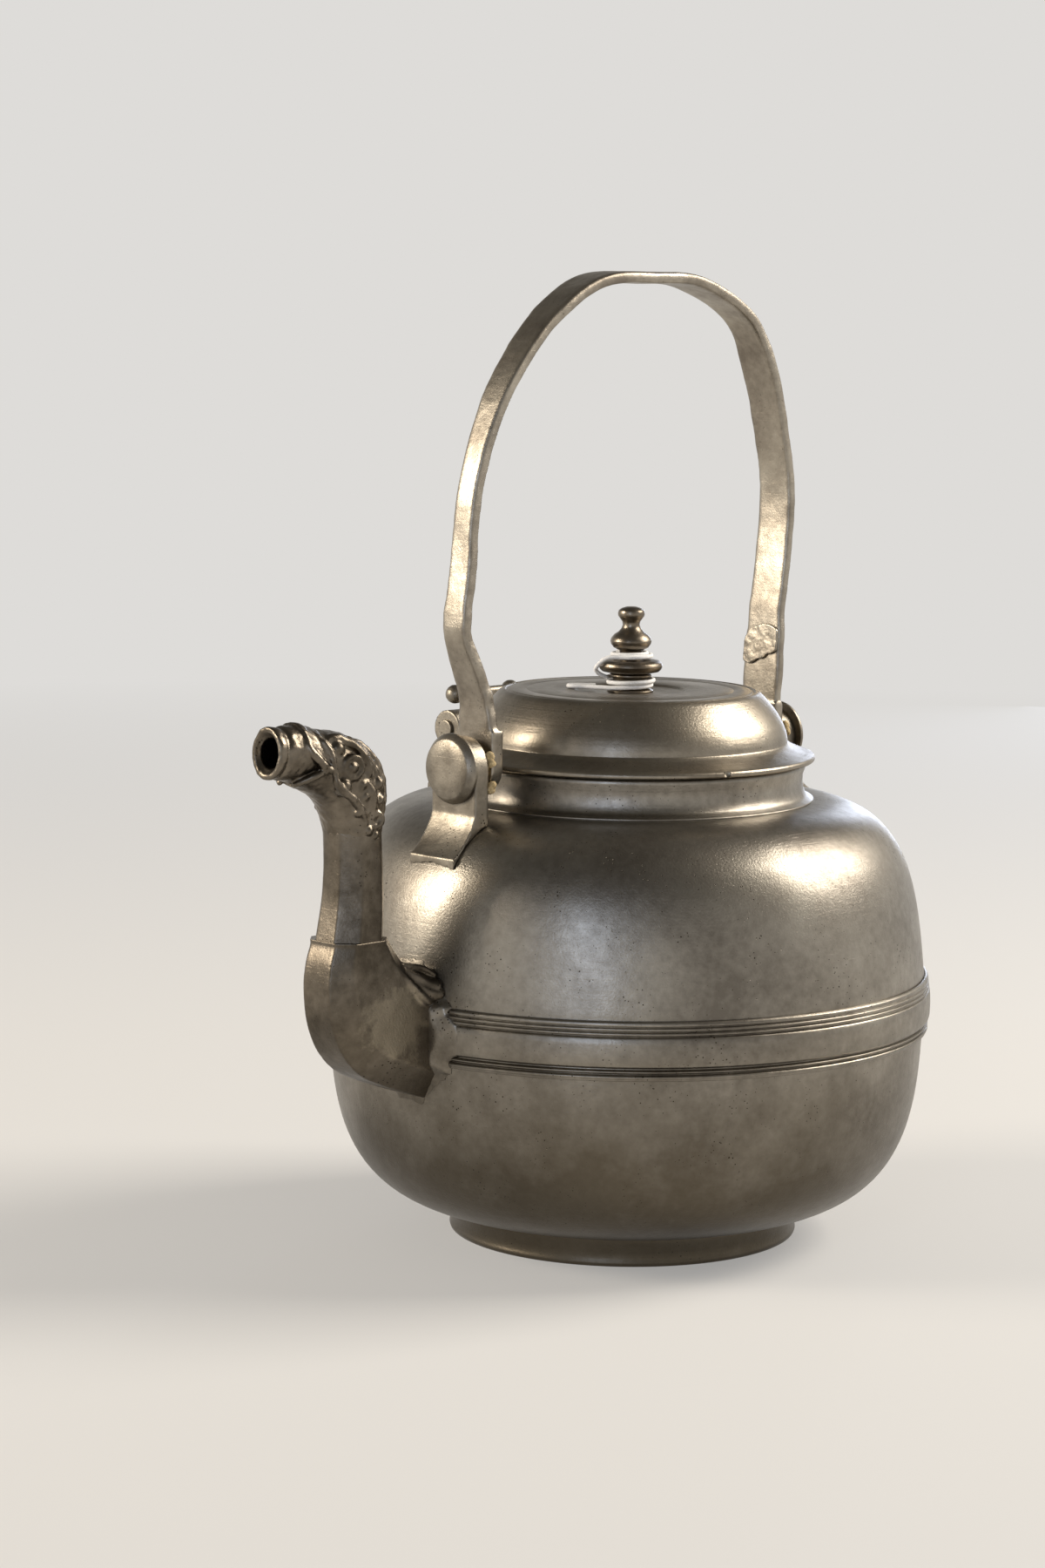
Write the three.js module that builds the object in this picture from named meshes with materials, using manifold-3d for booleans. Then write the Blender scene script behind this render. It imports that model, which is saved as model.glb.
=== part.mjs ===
// A pewter teapot with a hinged lid, a bail handle and a spout that ends in a serpent's head.
// Millimetres, +Z up, standing on the table. The spout points to -X, the lid's hinge is at +Y.
import * as THREE from 'three';
import { mergeVertices } from 'three/addons/utils/BufferGeometryUtils.js';
import Module from 'manifold-3d';

const wasm = await Module();
wasm.setup();

// Clearances and how finely round pieces are divided
const seatGap = 0.3;          // between curved or cut neighbours
const slideGap = 0.1;         // between flat faces that turn on each other
const pinGap = 0.06;          // round a pin
const roundSteps = 44;
const smallSteps = 20;
const outlineSteps = 9;

// Body, two turned halves that meet under a belt
const shoulderWidth = 31.7;   // from the shoulder's flat to the widest line
const wall = 2.2;
const seamHeight = 66;
const flankDrop = 4;          // straight wall below and above the seam
const flankRise = 8;
const baseRadius = 49.6;      // flat underside
const baseHeight = 8;
const lowerBelly = 32;        // reach and slope of the curves that shape the lower half
const lowerBellySlope = 0.13;
const lowerFlank = 22.7;
const lowerFlankSlope = 0.05;
const neckRadius = 51.4;      // flat shoulder under the collar
const neckHeight = 122.1;
const neckLedge = 5.6;        // width of that flat
const upperFlank = 25.5;      // the same for the upper half
const upperFlankSlope = 0.094;
const upperShoulder = 26.6;
const upperShoulderSlope = 0.016;

// Foot ring
const footInset = 1.1;        // from the edge of the base
const footWidth = 3.4;
const footFlare = 1;
const footLip = 1.1;

// Belt over the seam
const beltDrop = 7.6;         // below and above the seam
const beltRise = 8.2;
const beltThickness = 1.6;
const beltCrown = 0.7;
const grooveWidth = 0.9;
const grooveDepth = 0.45;
const lowerGrooveRise = 2.6;  // above the belt's lower edge
const lowerGrooveDepth = 0.9;
const fineGrooveDrop = 3.7;   // of the lowest fine groove, below the upper edge
const fineGroovePitch = 1.25;
const fineGrooves = 3;

// Collar
const collarHeight = 10.6;
const collarInset = 3.2;      // of the waist from the shoulder's flat edge
const collarRoll = 0.7;       // of the rim over the waist
const collarWall = 2;

// Lid
const flangeOverhang = 2.6;   // over the collar's rim
const flangeThickness = 1.5;
const flangeRise = 3.5;       // climb of the flange to the foot of the lid's wall
const flangeWidth = 7.6;
const lidHeight = 18.9;
const lidBulge = 8.7;         // of the wall beyond the flat top
const lidTopThickness = 2.1;
const lidWallRise = 5;        // reach of the curves that shape the lid's wall
const lidShoulder = 3;
const lidGrooveInset = 1;     // of the groove inside the top's edge
const dishRadius = 15.5;      // shallow dish round the knob
const dishDepth = 0.6;
const skirtDepth = 6.8;       // guide ring inside the collar
const skirtWidth = 1.8;
const skirtGap = 0.95;

// Knob
const tenonRadius = 2.5;
const rivetedEnd = 3.8;       // radius of the tenon's peened end
const rivetedHeight = 0.8;
const washerRadius = 5.6;
const washerThickness = 1.2;
const knobFootRadius = 6.4;
const knobFootHeight = 1;
const lowerStemRadius = 4.9;
const lowerStemHeight = 2.9;
const knobRingRadius = 5.9;
const knobRingHeight = 1.2;
const knobDiscRadius = 8.9;
const knobDiscHeight = 4;
const upperStemRadius = 3.1;
const upperStemHeight = 2.6;
const beadRadius = 5.75;
const beadHeight = 6;
const waistRadius = 2.35;
const waistHeight = 1.8;
const finialRadius = 3.75;
const finialHeight = 4.1;

// String wound on the knob
const strandRadius = 0.45;
const strandTurns = 1.75;
const strandGrowth = 0.6;     // how much each lower turn widens
const strandRise = 1.3;
const upperTurnWidth = 1.25;
const upperTurnRise = 0.6;
const stepsPerTurn = 24;
const tailReach = 17.2;
const tailHalfWidth = 1.2;

// Hinge of the lid
const hingeReach = 7.5;       // from the lid's flange to the axis
const hingeRise = 3.5;        // of the axis above the lid's seat
const knuckleRadius = 5.3;
const knuckleGap = 0.3;
const centreKnuckle = 16.4;
const sideKnuckle = 5.6;
const hingePinRadius = 1.5;
const hingePinHead = 2.6;
const hingePinHeadLength = 1;
const bracketThickness = 6;
const bracketFoot = 8;        // reach of the bracket's foot behind the hinge's axis
const bracketFootRise = 2.2;
const tabReach = 5.2;         // overlap of the lid's tab on the flange
const tabRise = 2.8;
const padWidth = 8;           // flat land that carries the thumbpiece
const padHalfDepth = 2.4;
const thumbRise = 9.7;
const thumbBall = 2.8;
const thumbSpread = 11;
const thumbBar = 1.5;
const thumbStem = 6;

// Ears and pins that carry the bail
const pivotRise = 2;          // of the pivots above the lid's seat
const pinRadius = 3;
const pinHeadBase = 9.5;
const pinHeadFace = 7.85;
const pinHeadHeight = 2.9;
const pinRivet = 4.2;
const pinRivetHeight = 0.7;
const frontRoom = 3.3;        // free room between the lid's flange and each pin's rivet
const rearRoom = 0.6;
const frontTongue = 4.3;      // thickness of the bail's flat ends
const rearTongue = 3.2;
const frontPacking = 2.3;
const rearPacking = 0.8;
const packingRadius = 6.2;
const frontPlate = 4.9;
const rearPlate = 4.2;
const frontEarRadius = 8.5;
const rearEarRadius = 7.4;
const earFootReach = 7.8;
const earFootThickness = 2.3;
const earFootRise = 5;

// Bail. Rows give the strap's middle line: out from the flat end, above the pivots, and the width.
const tongueRadius = 7.1;
const tongueRise = 10;
const frontStrap = 3.6;
const rearStrap = 2.9;
const strapRings = 46;
const strapEdge = 0.7;        // small flats along the strap's edges
const frontLeg = [
  [0.3, 3, 12.8], [0.7, 11, 12.5], [1.7, 19, 10.9], [5.1, 27, 10.1], [8.4, 35, 8.5], [8.6, 41, 8.6],
  [6.8, 53, 8], [4.9, 71, 7.4], [0.3, 87, 7.7], [-8, 103, 9.2], [-22.5, 119, 10.6],
];
const rearLeg = [
  [-11.9, 119, 11], [-2.6, 103, 12.3], [2, 87, 11.9], [4.7, 74, 11.8], [4.9, 62, 12.2], [3.2, 47, 12.3],
  [1.6, 35, 12.4], [0.9, 24, 13.6], [0.2, 12, 13.5], [0, 3, 13.2],
];
const crown = [[-17.5, 128.9, 12], [3, 130, 12.4], [22, 128.7, 12]];
const patchLow = 21;          // lapped repair on the rear leg
const patchLength = 11;
const patchThickness = 0.9;
const patchInset = 0.6;

// Spout. Points are [out from the body's wall, above the seam].
const spoutWall = 2.2;
const rootHalfWidth = 10.6;
const jointHalfWidth = 8.7;
const rootFacet = 5.8;        // half widths of the front facet
const jointFacet = 4.8;
const rootChamfer = 7.4;
const jointChamfer = 3.8;
const rootLow = -17.6;
const rootHigh = 18;
const jointHeight = 27.5;
const footOuter = [
  [-7, -18.6], [2.9, -16], [13.9, -12], [21.4, -8.4], [26.4, -3.7], [29.4, 1], [31.4, 6.5],
  [32.3, 12], [32.4, 17], [31.7, 22], [30.1, jointHeight],
];
const footInner = [
  [-7, rootHigh], [-0.5, rootHigh], [2.5, 18.6], [5.5, 19.2], [7.5, 20], [8.8, 21.2], [9.8, 22.6],
  [10.6, 23.8], [11.2, 25], [11.7, 26.2], [12.3, jointHeight],
];
const neckLow = 8.9;          // half widths of the neck at the joint and under the head
const neckHigh = 7.7;
const neckWaist = 0.3;        // how much it is drawn in halfway
const neckLowOut = 21.2;
const neckHighOut = 20.3;
const neckBow = 0.9;
const neckTop = 56;
const neckRings = 5;
const spoutBore = 5.4;
const headBore = 3.6;
const mouthLip = 1.2;
const flowRadius = 7.5;
const seatMargin = 4.6;       // solder seat round the spout's root, flush with the belt
const seatTaper = 0.45;       // how its edge spreads towards the body
const seatDepth = 12;
// Rows of the head: throat [out, up] and crest [out, up] from the middle of the neck's end,
// and half the width.
const head = [
  [7.7, 0, -7.7, 0, 7.7], [8.7, 4, -7.9, 7.5, 7.6], [10.2, 7.5, -6.2, 15, 7.4], [13.3, 10.3, -1.5, 21, 7.1],
  [16.6, 12, 6.1, 25.2, 6.6], [20.6, 13.6, 14.4, 26.6, 6.2], [24, 14.4, 20.3, 28.7, 6.2],
  [26.6, 14.9, 24.3, 28.9, 6], [27.3, 15.5, 25.4, 28.3, 5.5], [28.2, 15.2, 26.8, 28.8, 5.8],
  [29.9, 15.5, 29.1, 28.7, 5.4],
];
const jawRows = 7;            // rows that lie inside the serpent's skull and open jaws
const jawProud = 0.9;
const jaws = [[15.2, 18.2], [19.6, 22], [21.6, 31], [40, 31], [40, 10], [22.4, 12.6]];
// Bosses on the head: [out, up, half spread, radius] for the eyes, brows and cheeks,
// and [out, up, 0, radius] for the knurls down the mane.
const bosses = [
  [4.9, 18.2, 6.7, 2.3], [8.4, 23, 4.6, 2.4], [8.4, 13.2, 6, 2.5],
  [-7.9, 10.6, 0, 2.6], [-8.2, 5.4, 0, 2.2], [-7.6, 1.8, 0, 1.7],
];

// Finishes
const pewter = { color: 0x938e82, roughness: 0.42, metalness: 1 };
const dullPewter = { color: 0x6f6a5f, roughness: 0.5, metalness: 1 };
const strapMetal = { color: 0x8a8378, roughness: 0.46, metalness: 1 };
const fibre = { color: 0xc2a878, roughness: 0.95, metalness: 0 };
const cotton = { color: 0xe9e6df, roughness: 0.95, metalness: 0 };

// Sizes that several pieces share
const quarterTurn = Math.PI / 2;
const bodyRadius = neckRadius + shoulderWidth;
const neckBore = neckRadius - neckLedge;
const footRadius = baseRadius - footInset;
const beltInside = bodyRadius + seatGap;
const beltRadius = beltInside + beltThickness;
const beltLow = seamHeight - beltDrop;
const beltHigh = seamHeight + beltRise;
const lowerGroove = beltLow + lowerGrooveRise;
const fineGroove = beltHigh - fineGrooveDrop;
const collarWaist = neckRadius - collarInset;
const collarRim = collarWaist + collarRoll;
const collarBore = collarWaist - collarWall;
const flangeRadius = collarRim + flangeOverhang;
const lidWallRadius = flangeRadius - flangeWidth;
const lidTopRadius = lidWallRadius - lidBulge;
const lidGroove = lidTopRadius - lidGrooveInset;
const lidSeat = neckHeight + collarHeight + seatGap;
const hingeOut = flangeRadius + hingeReach;
const hingeHeight = lidSeat + hingeRise;
const pivotHeight = lidSeat + pivotRise;
const flowHeight = seamHeight + (rootLow + rootHigh) / 2;
const bailFront = flangeRadius + frontRoom + pinRivetHeight;
const bailRear = flangeRadius + rearRoom + pinRivetHeight;
const frontEarFace = bailFront + frontTongue + frontPacking + 2 * slideGap;
const rearEarFace = bailRear + rearTongue + rearPacking + 2 * slideGap;
const frontEarBack = frontEarFace + frontPlate;
const rearEarBack = rearEarFace + rearPlate;
const sideKnuckleStart = centreKnuckle / 2 + knuckleGap;
const sideKnuckleEnd = sideKnuckleStart + sideKnuckle;

const pot = new THREE.Group();
const lid = new THREE.Group();
const knob = new THREE.Group();
const bail = new THREE.Group();
lid.position.z = lidSeat;
knob.position.z = lidHeight - dishDepth;
bail.position.z = pivotHeight;
lid.add(knob);
pot.add(lid, bail);

// Turns a closed geometry into a solid, with its corners merged and empty triangles left out.
function toSolid(geometry) {
  const bare = new THREE.BufferGeometry();
  bare.setAttribute('position', geometry.getAttribute('position'));
  if (geometry.index) bare.setIndex(geometry.index);
  const merged = mergeVertices(bare, 1e-4);
  const corners = merged.index.array;
  const triangles = [];
  for (let i = 0; i < corners.length; i += 3) {
    const [a, b, c] = [corners[i], corners[i + 1], corners[i + 2]];
    if (a !== b && b !== c && c !== a) triangles.push(a, b, c);
  }
  const vertProperties = new Float32Array(merged.getAttribute('position').array);
  const triVerts = new Uint32Array(triangles);
  return new wasm.Manifold(new wasm.Mesh({ numProp: 3, vertProperties, triVerts }));
}

function addPart(name, solid, finish, parent) {
  const { vertProperties, triVerts } = solid.getMesh();
  const geometry = new THREE.BufferGeometry();
  geometry.setAttribute('position', new THREE.BufferAttribute(new Float32Array(vertProperties), 3));
  geometry.setIndex(Array.from(triVerts));
  geometry.computeVertexNormals();
  const part = new THREE.Mesh(geometry, new THREE.MeshStandardMaterial(finish));
  part.name = name;
  parent.add(part);
}

// A piece turned about the Z axis. The profile's [radius, height] points run up the outside
// and down the inside, and either start and end on the axis or close on themselves.
function turned(profile, steps = roundSteps) {
  const points = profile.map(([radius, height]) => new THREE.Vector2(radius, height));
  if (profile[0][0] > 0) points.push(points[0].clone());
  const geometry = new THREE.LatheGeometry(points, steps);
  geometry.rotateX(quarterTurn);
  return toSolid(geometry);
}

// The same about an axis that runs along X at the given [y, z].
function turnedAlongX(profile, [y, z], steps = smallSteps) {
  const points = profile.map(([radius, along]) => new THREE.Vector2(radius, along));
  if (profile[0][0] > 0) points.push(points[0].clone());
  const geometry = new THREE.LatheGeometry(points, steps);
  geometry.rotateZ(-quarterTurn);
  geometry.translate(0, y, z);
  return toSolid(geometry);
}

function rodAlongX(radius, from, to, centre) {
  return turnedAlongX([[0, from], [radius, from], [radius, to], [0, to]], centre);
}

// Radius of a hole whose flats clear a pin by the pin's gap.
function holeFor(radius) {
  return (radius + pinGap) / Math.cos(Math.PI / smallSteps);
}

// An outline in the YZ plane, thickened along X.
function plateAcross(shape, from, to) {
  const geometry = new THREE.ExtrudeGeometry(shape, { depth: to - from, bevelEnabled: false });
  geometry.rotateX(quarterTurn);
  geometry.rotateZ(quarterTurn);
  geometry.translate(from, 0, 0);
  return toSolid(geometry);
}

// An outline in the XZ plane, thickened to both sides of Y = 0.
function plateAlong(shape, halfWidth) {
  const geometry = new THREE.ExtrudeGeometry(shape, { depth: 2 * halfWidth, bevelEnabled: false });
  geometry.rotateX(quarterTurn);
  geometry.translate(0, halfWidth, 0);
  return toSolid(geometry);
}

function polygon(corners) {
  return new THREE.Shape(corners.map(([x, y]) => new THREE.Vector2(x, y)));
}

// A skin over rings of points, closed by a flat fan over the first and the last ring.
// Seen from ahead, each ring runs anticlockwise.
function loft(rings) {
  const sides = rings[0].length;
  const lastRow = (rings.length - 1) * sides;
  const centres = [rings[0], rings[rings.length - 1]].map((ring) => (
    ring.reduce((sum, point) => sum.add(point), new THREE.Vector3()).divideScalar(sides)
  ));
  const first = rings.length * sides;
  const last = first + 1;
  const index = [];
  for (let side = 0; side < sides; side += 1) {
    const next = (side + 1) % sides;
    for (let low = 0; low < lastRow; low += sides) {
      const high = low + sides;
      index.push(low + side, low + next, high + next, low + side, high + next, high + side);
    }
    index.push(first, next, side, last, lastRow + side, lastRow + next);
  }
  const geometry = new THREE.BufferGeometry().setFromPoints([...rings.flat(), ...centres]);
  geometry.setIndex(index);
  return toSolid(geometry);
}

// Moves an open outline to its left.
function offsetLeft(points, distance) {
  return points.map(([x, y], i) => {
    const before = points[Math.max(i - 1, 0)];
    const after = points[Math.min(i + 1, points.length - 1)];
    const along = new THREE.Vector2(after[0] - before[0], after[1] - before[1]).normalize();
    return [x - along.y * distance, y + along.x * distance];
  });
}

// A curve between two points, drawn by the handles that leave them.
function curved(start, startHandle, end, endHandle) {
  const curve = new THREE.CubicBezierCurve(
    new THREE.Vector2(...start),
    new THREE.Vector2(start[0] + startHandle[0], start[1] + startHandle[1]),
    new THREE.Vector2(end[0] + endHandle[0], end[1] + endHandle[1]),
    new THREE.Vector2(...end),
  );
  return curve.getPoints(outlineSteps).map((point) => [point.x, point.y]);
}

// Outlines of the body's halves, each from the axis or the seam to its far end
const lowerOutline = [
  [0, baseHeight],
  ...curved(
    [baseRadius, baseHeight],
    [lowerBelly * Math.cos(lowerBellySlope), lowerBelly * Math.sin(lowerBellySlope)],
    [bodyRadius, seamHeight - flankDrop],
    [-lowerFlank * Math.sin(lowerFlankSlope), -lowerFlank * Math.cos(lowerFlankSlope)],
  ),
  [bodyRadius, seamHeight],
];
const shoulderCurve = curved(
  [bodyRadius, seamHeight + flankRise],
  [-upperFlank * Math.sin(upperFlankSlope), upperFlank * Math.cos(upperFlankSlope)],
  [neckRadius, neckHeight],
  [upperShoulder * Math.cos(upperShoulderSlope), -upperShoulder * Math.sin(upperShoulderSlope)],
);
const upperOutline = [[bodyRadius, seamHeight], ...shoulderCurve, [neckBore, neckHeight]];

// The body's outside as one solid, swollen by a margin
function bodyFilled(margin) {
  const lower = offsetLeft(lowerOutline, -margin);
  const upper = offsetLeft(upperOutline, -margin);
  return turned([...lower, ...upper.slice(1), [0, neckHeight + margin]]);
}

// Height of the shoulder at a distance from the axis
function shoulderHeight(radius) {
  const next = shoulderCurve.findIndex(([r]) => r <= radius);
  if (next < 1) return next < 0 ? neckHeight : shoulderCurve[0][1];
  const [outerRadius, low] = shoulderCurve[next - 1];
  const [innerRadius, high] = shoulderCurve[next];
  return THREE.MathUtils.mapLinear(radius, outerRadius, innerRadius, low, high);
}

function makeBody() {
  const flowHole = rodAlongX(flowRadius, -bodyRadius - wall, -bodyRadius + 3 * wall, [0, flowHeight]);
  const lower = turned([...lowerOutline, ...offsetLeft(lowerOutline, wall).reverse()]);
  const upper = turned([...upperOutline, ...offsetLeft(upperOutline, wall).reverse()]);
  addPart('body_lower', lower.subtract(flowHole), pewter, pot);
  addPart('body_upper', upper.subtract(flowHole), pewter, pot);
}

function makeFoot() {
  const ring = turned([
    [footRadius - footWidth, 0],
    [footRadius, 0],
    [footRadius + footLip / 3, footLip],
    [footRadius, 2 * footLip],
    [footRadius + footFlare, baseHeight],
    [footRadius + footFlare - footWidth, baseHeight],
  ]);
  addPart('foot_ring', ring, pewter, pot);
}

// Corners of the root's eight-sided outline, grown by a margin
function rootCorners(margin) {
  const high = (rootHigh - rootLow) / 2 + margin;
  const wide = rootHalfWidth + margin;
  const quarter = [[wide, 0.6 * high], [0.58 * wide, high]];
  const mirrored = quarter.map(([y, z]) => [-y, z]).reverse();
  const upper = [...quarter, ...mirrored];
  const lower = upper.map(([y, z]) => [-y, -z]);
  return [...upper, ...lower].map(([y, z]) => [y, flowHeight + z]);
}

// The room of the solder seat, which spreads from its face towards the body
function seatRoom(gap) {
  const ring = (depth) => rootCorners(seatMargin + gap + seatTaper * depth).map(([y, z]) => (
    new THREE.Vector3(depth - beltRadius, y, z)
  ));
  return loft([ring(-beltThickness), ring(seatDepth)]);
}

function makeBelt() {
  const middle = (beltLow + beltHigh) / 2;
  const half = (beltHigh - beltLow) / 2;
  const surface = (height) => beltRadius - beltCrown * ((height - middle) / half) ** 2;
  const cut = (height, depth) => [
    [surface(height), height - grooveWidth / 2],
    [surface(height) - depth, height],
    [surface(height), height + grooveWidth / 2],
  ];
  const outside = [[surface(beltLow), beltLow], ...cut(lowerGroove, lowerGrooveDepth), [beltRadius, middle]];
  for (let i = 0; i < fineGrooves; i += 1) outside.push(...cut(fineGroove + i * fineGroovePitch, grooveDepth));
  const ring = turned([[beltInside, beltLow], ...outside, [surface(beltHigh), beltHigh], [beltInside, beltHigh]]);
  addPart('belly_belt', ring.subtract(seatRoom(seatGap)), pewter, pot);
}

function makeCollar() {
  const rim = neckHeight + collarHeight;
  const collar = turned([
    [neckBore, neckHeight],
    [neckRadius, neckHeight],
    [neckRadius - 1.8, neckHeight + 1.2],
    [collarWaist + 0.3, neckHeight + 3.4],
    [collarWaist, neckHeight + collarHeight / 2],
    [collarRim - 0.5, rim - 2.8],
    [collarRim, rim - 1],
    [collarRim - 0.5, rim],
    [collarBore, rim],
    [collarBore, neckHeight + 3],
  ]);
  addPart('neck_collar', collar, pewter, pot);
}

// Outside of the lid from the flange's edge up to the flat top, from the flange's underside
const wallFoot = flangeThickness + flangeRise;
const lidOutline = [
  [flangeRadius - 0.4, 0],
  [flangeRadius, 0.5],
  [flangeRadius - 0.1, flangeThickness],
  [(flangeRadius + lidWallRadius) / 2, flangeThickness + 0.4 * flangeRise],
  ...curved(
    [lidWallRadius, wallFoot],
    [-0.1, lidWallRise],
    [lidTopRadius + 1.2, lidHeight - 0.7],
    [lidShoulder, -lidShoulder],
  ),
  [lidTopRadius, lidHeight],
];

function makeLid() {
  const wallOutside = lidOutline.slice(4, -1);
  const inside = offsetLeft(wallOutside, wall).reverse();
  const hole = tenonRadius + seatGap;
  const cover = turned([
    [inside[inside.length - 1][0], 0],
    ...lidOutline,
    [lidGroove + 0.5, lidHeight],
    [lidGroove, lidHeight - 0.5],
    [lidGroove - 0.5, lidHeight],
    [dishRadius, lidHeight],
    [dishRadius - 1.2, lidHeight - dishDepth],
    [hole, lidHeight - dishDepth],
    [hole, lidHeight - lidTopThickness],
    [inside[0][0], lidHeight - lidTopThickness],
    ...inside.slice(1),
  ]);
  addPart('lid_cover', cover, pewter, lid);
  const skirtOuter = collarBore - skirtGap;
  const skirt = turned([
    [skirtOuter - skirtWidth, -skirtDepth],
    [skirtOuter - 0.5, -skirtDepth],
    [skirtOuter, 0.6 - skirtDepth],
    [skirtOuter, 0],
    [skirtOuter - skirtWidth, 0],
  ]);
  addPart('lid_skirt', skirt, pewter, lid);
}

// Heights of the knob's stages above the dish
const lowerStemBase = knobFootHeight;
const knobRingBase = lowerStemBase + lowerStemHeight;
const knobDiscBase = knobRingBase + knobRingHeight;
const upperStemBase = knobDiscBase + knobDiscHeight;
const beadBase = upperStemBase + upperStemHeight;
const waistBase = beadBase + beadHeight;
const finialBase = waistBase + waistHeight;

function makeKnob() {
  const washerTop = dishDepth - lidTopThickness;
  const washerLow = washerTop - washerThickness;
  const turnedKnob = turned([
    [0, washerLow - rivetedHeight],
    [rivetedEnd - 0.5, washerLow - rivetedHeight],
    [rivetedEnd, washerLow],
    [tenonRadius, washerLow],
    [tenonRadius, 0],
    [knobFootRadius, 0],
    [knobFootRadius - 0.4, 0.6 * knobFootHeight],
    [lowerStemRadius, lowerStemBase],
    [lowerStemRadius, knobRingBase],
    [knobRingRadius, knobRingBase + 0.3 * knobRingHeight],
    [knobRingRadius, knobRingBase + 0.7 * knobRingHeight],
    [lowerStemRadius, knobDiscBase],
    [knobDiscRadius - 0.7, knobDiscBase + 0.15 * knobDiscHeight],
    [knobDiscRadius, knobDiscBase + 0.5 * knobDiscHeight],
    [knobDiscRadius - 0.7, upperStemBase - 0.15 * knobDiscHeight],
    [upperStemRadius, upperStemBase],
    [upperStemRadius, beadBase],
    [beadRadius, beadBase + 0.4 * beadHeight],
    [0.8 * beadRadius, beadBase + 0.7 * beadHeight],
    [waistRadius, waistBase],
    [waistRadius, finialBase],
    [finialRadius, finialBase + 0.35 * finialHeight],
    [finialRadius, finialBase + 0.6 * finialHeight],
    [0.6 * finialRadius, finialBase + 0.95 * finialHeight],
    [0, finialBase + finialHeight],
  ], smallSteps);
  addPart('lid_knob', turnedKnob, pewter, knob);
  const washer = turned([
    [tenonRadius + seatGap, washerLow],
    [washerRadius, washerLow],
    [washerRadius, washerTop],
    [tenonRadius + seatGap, washerTop],
  ], smallSteps);
  addPart('knob_washer', washer, pewter, knob);
}

// The string starts as a bight that lies out over the lid, winds round the lower stem, climbs
// past the disc's edge and winds inwards round the upper stem.
function stringRoute() {
  const clear = strandRadius + seatGap;
  const away = 1.5 * quarterTurn;
  const place = (radius, turn, height) => {
    const angle = away + turn;
    return new THREE.Vector3(radius * Math.cos(angle), radius * Math.sin(angle), height);
  };
  const onLid = dishDepth + clear;
  const lying = (distance, side) => place(Math.hypot(distance, side), Math.atan2(side, distance), onLid);
  const points = [
    lying(0.56 * tailReach, -1.4 * tailHalfWidth),
    lying(0.78 * tailReach, -1.3 * tailHalfWidth),
    lying(0.95 * tailReach, -tailHalfWidth),
    lying(tailReach, 0),
    lying(0.95 * tailReach, tailHalfWidth),
    lying(0.75 * tailReach, 1.6 * tailHalfWidth),
    lying(0.5 * tailReach, 3.1 * tailHalfWidth),
    lying(0.25 * tailReach, 4.4 * tailHalfWidth),
  ];
  const wind = (radius, height, start, widen, rise) => {
    const steps = strandTurns * stepsPerTurn;
    for (let i = 0; i <= steps; i += 1) {
      const turns = i / stepsPerTurn;
      points.push(place(radius + widen * turns, start + turns * 2 * Math.PI, height + rise * turns));
    }
  };
  const edge = knobDiscRadius + clear;
  const narrow = upperStemRadius + clear;
  wind(lowerStemRadius + clear, onLid + 0.2, quarterTurn, strandGrowth, strandRise);
  points.push(place(edge + 0.25, 0.25, knobDiscBase + 0.2 * knobDiscHeight));
  points.push(place(edge + 0.35, 0.42, knobDiscBase + 0.6 * knobDiscHeight));
  points.push(place(edge - 1.2, 0.7, upperStemBase + clear - 0.2));
  wind(narrow + upperTurnWidth * strandTurns, upperStemBase + clear, 1.2, -upperTurnWidth, upperTurnRise);
  return points;
}

// Least distance between the strand's surfaces where it passes itself
function leastGap(points) {
  let least = Infinity;
  let along = 0;
  const reached = points.map((point, i) => {
    if (i > 0) along += point.distanceTo(points[i - 1]);
    return along;
  });
  for (let i = 0; i < points.length; i += 1) {
    for (let j = i + 1; j < points.length; j += 1) {
      const apart = points[i].distanceTo(points[j]);
      if (reached[j] - reached[i] > 2.5 * apart) least = Math.min(least, apart);
    }
  }
  return least - 2 * strandRadius;
}

function makeString() {
  const route = new THREE.CatmullRomCurve3(stringRoute(), false, 'centripetal');
  const section = new THREE.Shape().absarc(0, 0, strandRadius, 0, 4 * quarterTurn);
  const steps = Math.round(route.getLength() / 1.4);
  const options = { steps, curveSegments: 3, extrudePath: route, bevelEnabled: false };
  addPart('knob_string', toSolid(new THREE.ExtrudeGeometry(section, options)), cotton, knob);
  console.log(`string: length ${route.getLength().toFixed(1)} mm, least gap to itself `
    + `${leastGap(route.getSpacedPoints(4 * steps)).toFixed(2)} mm`);
}

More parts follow.
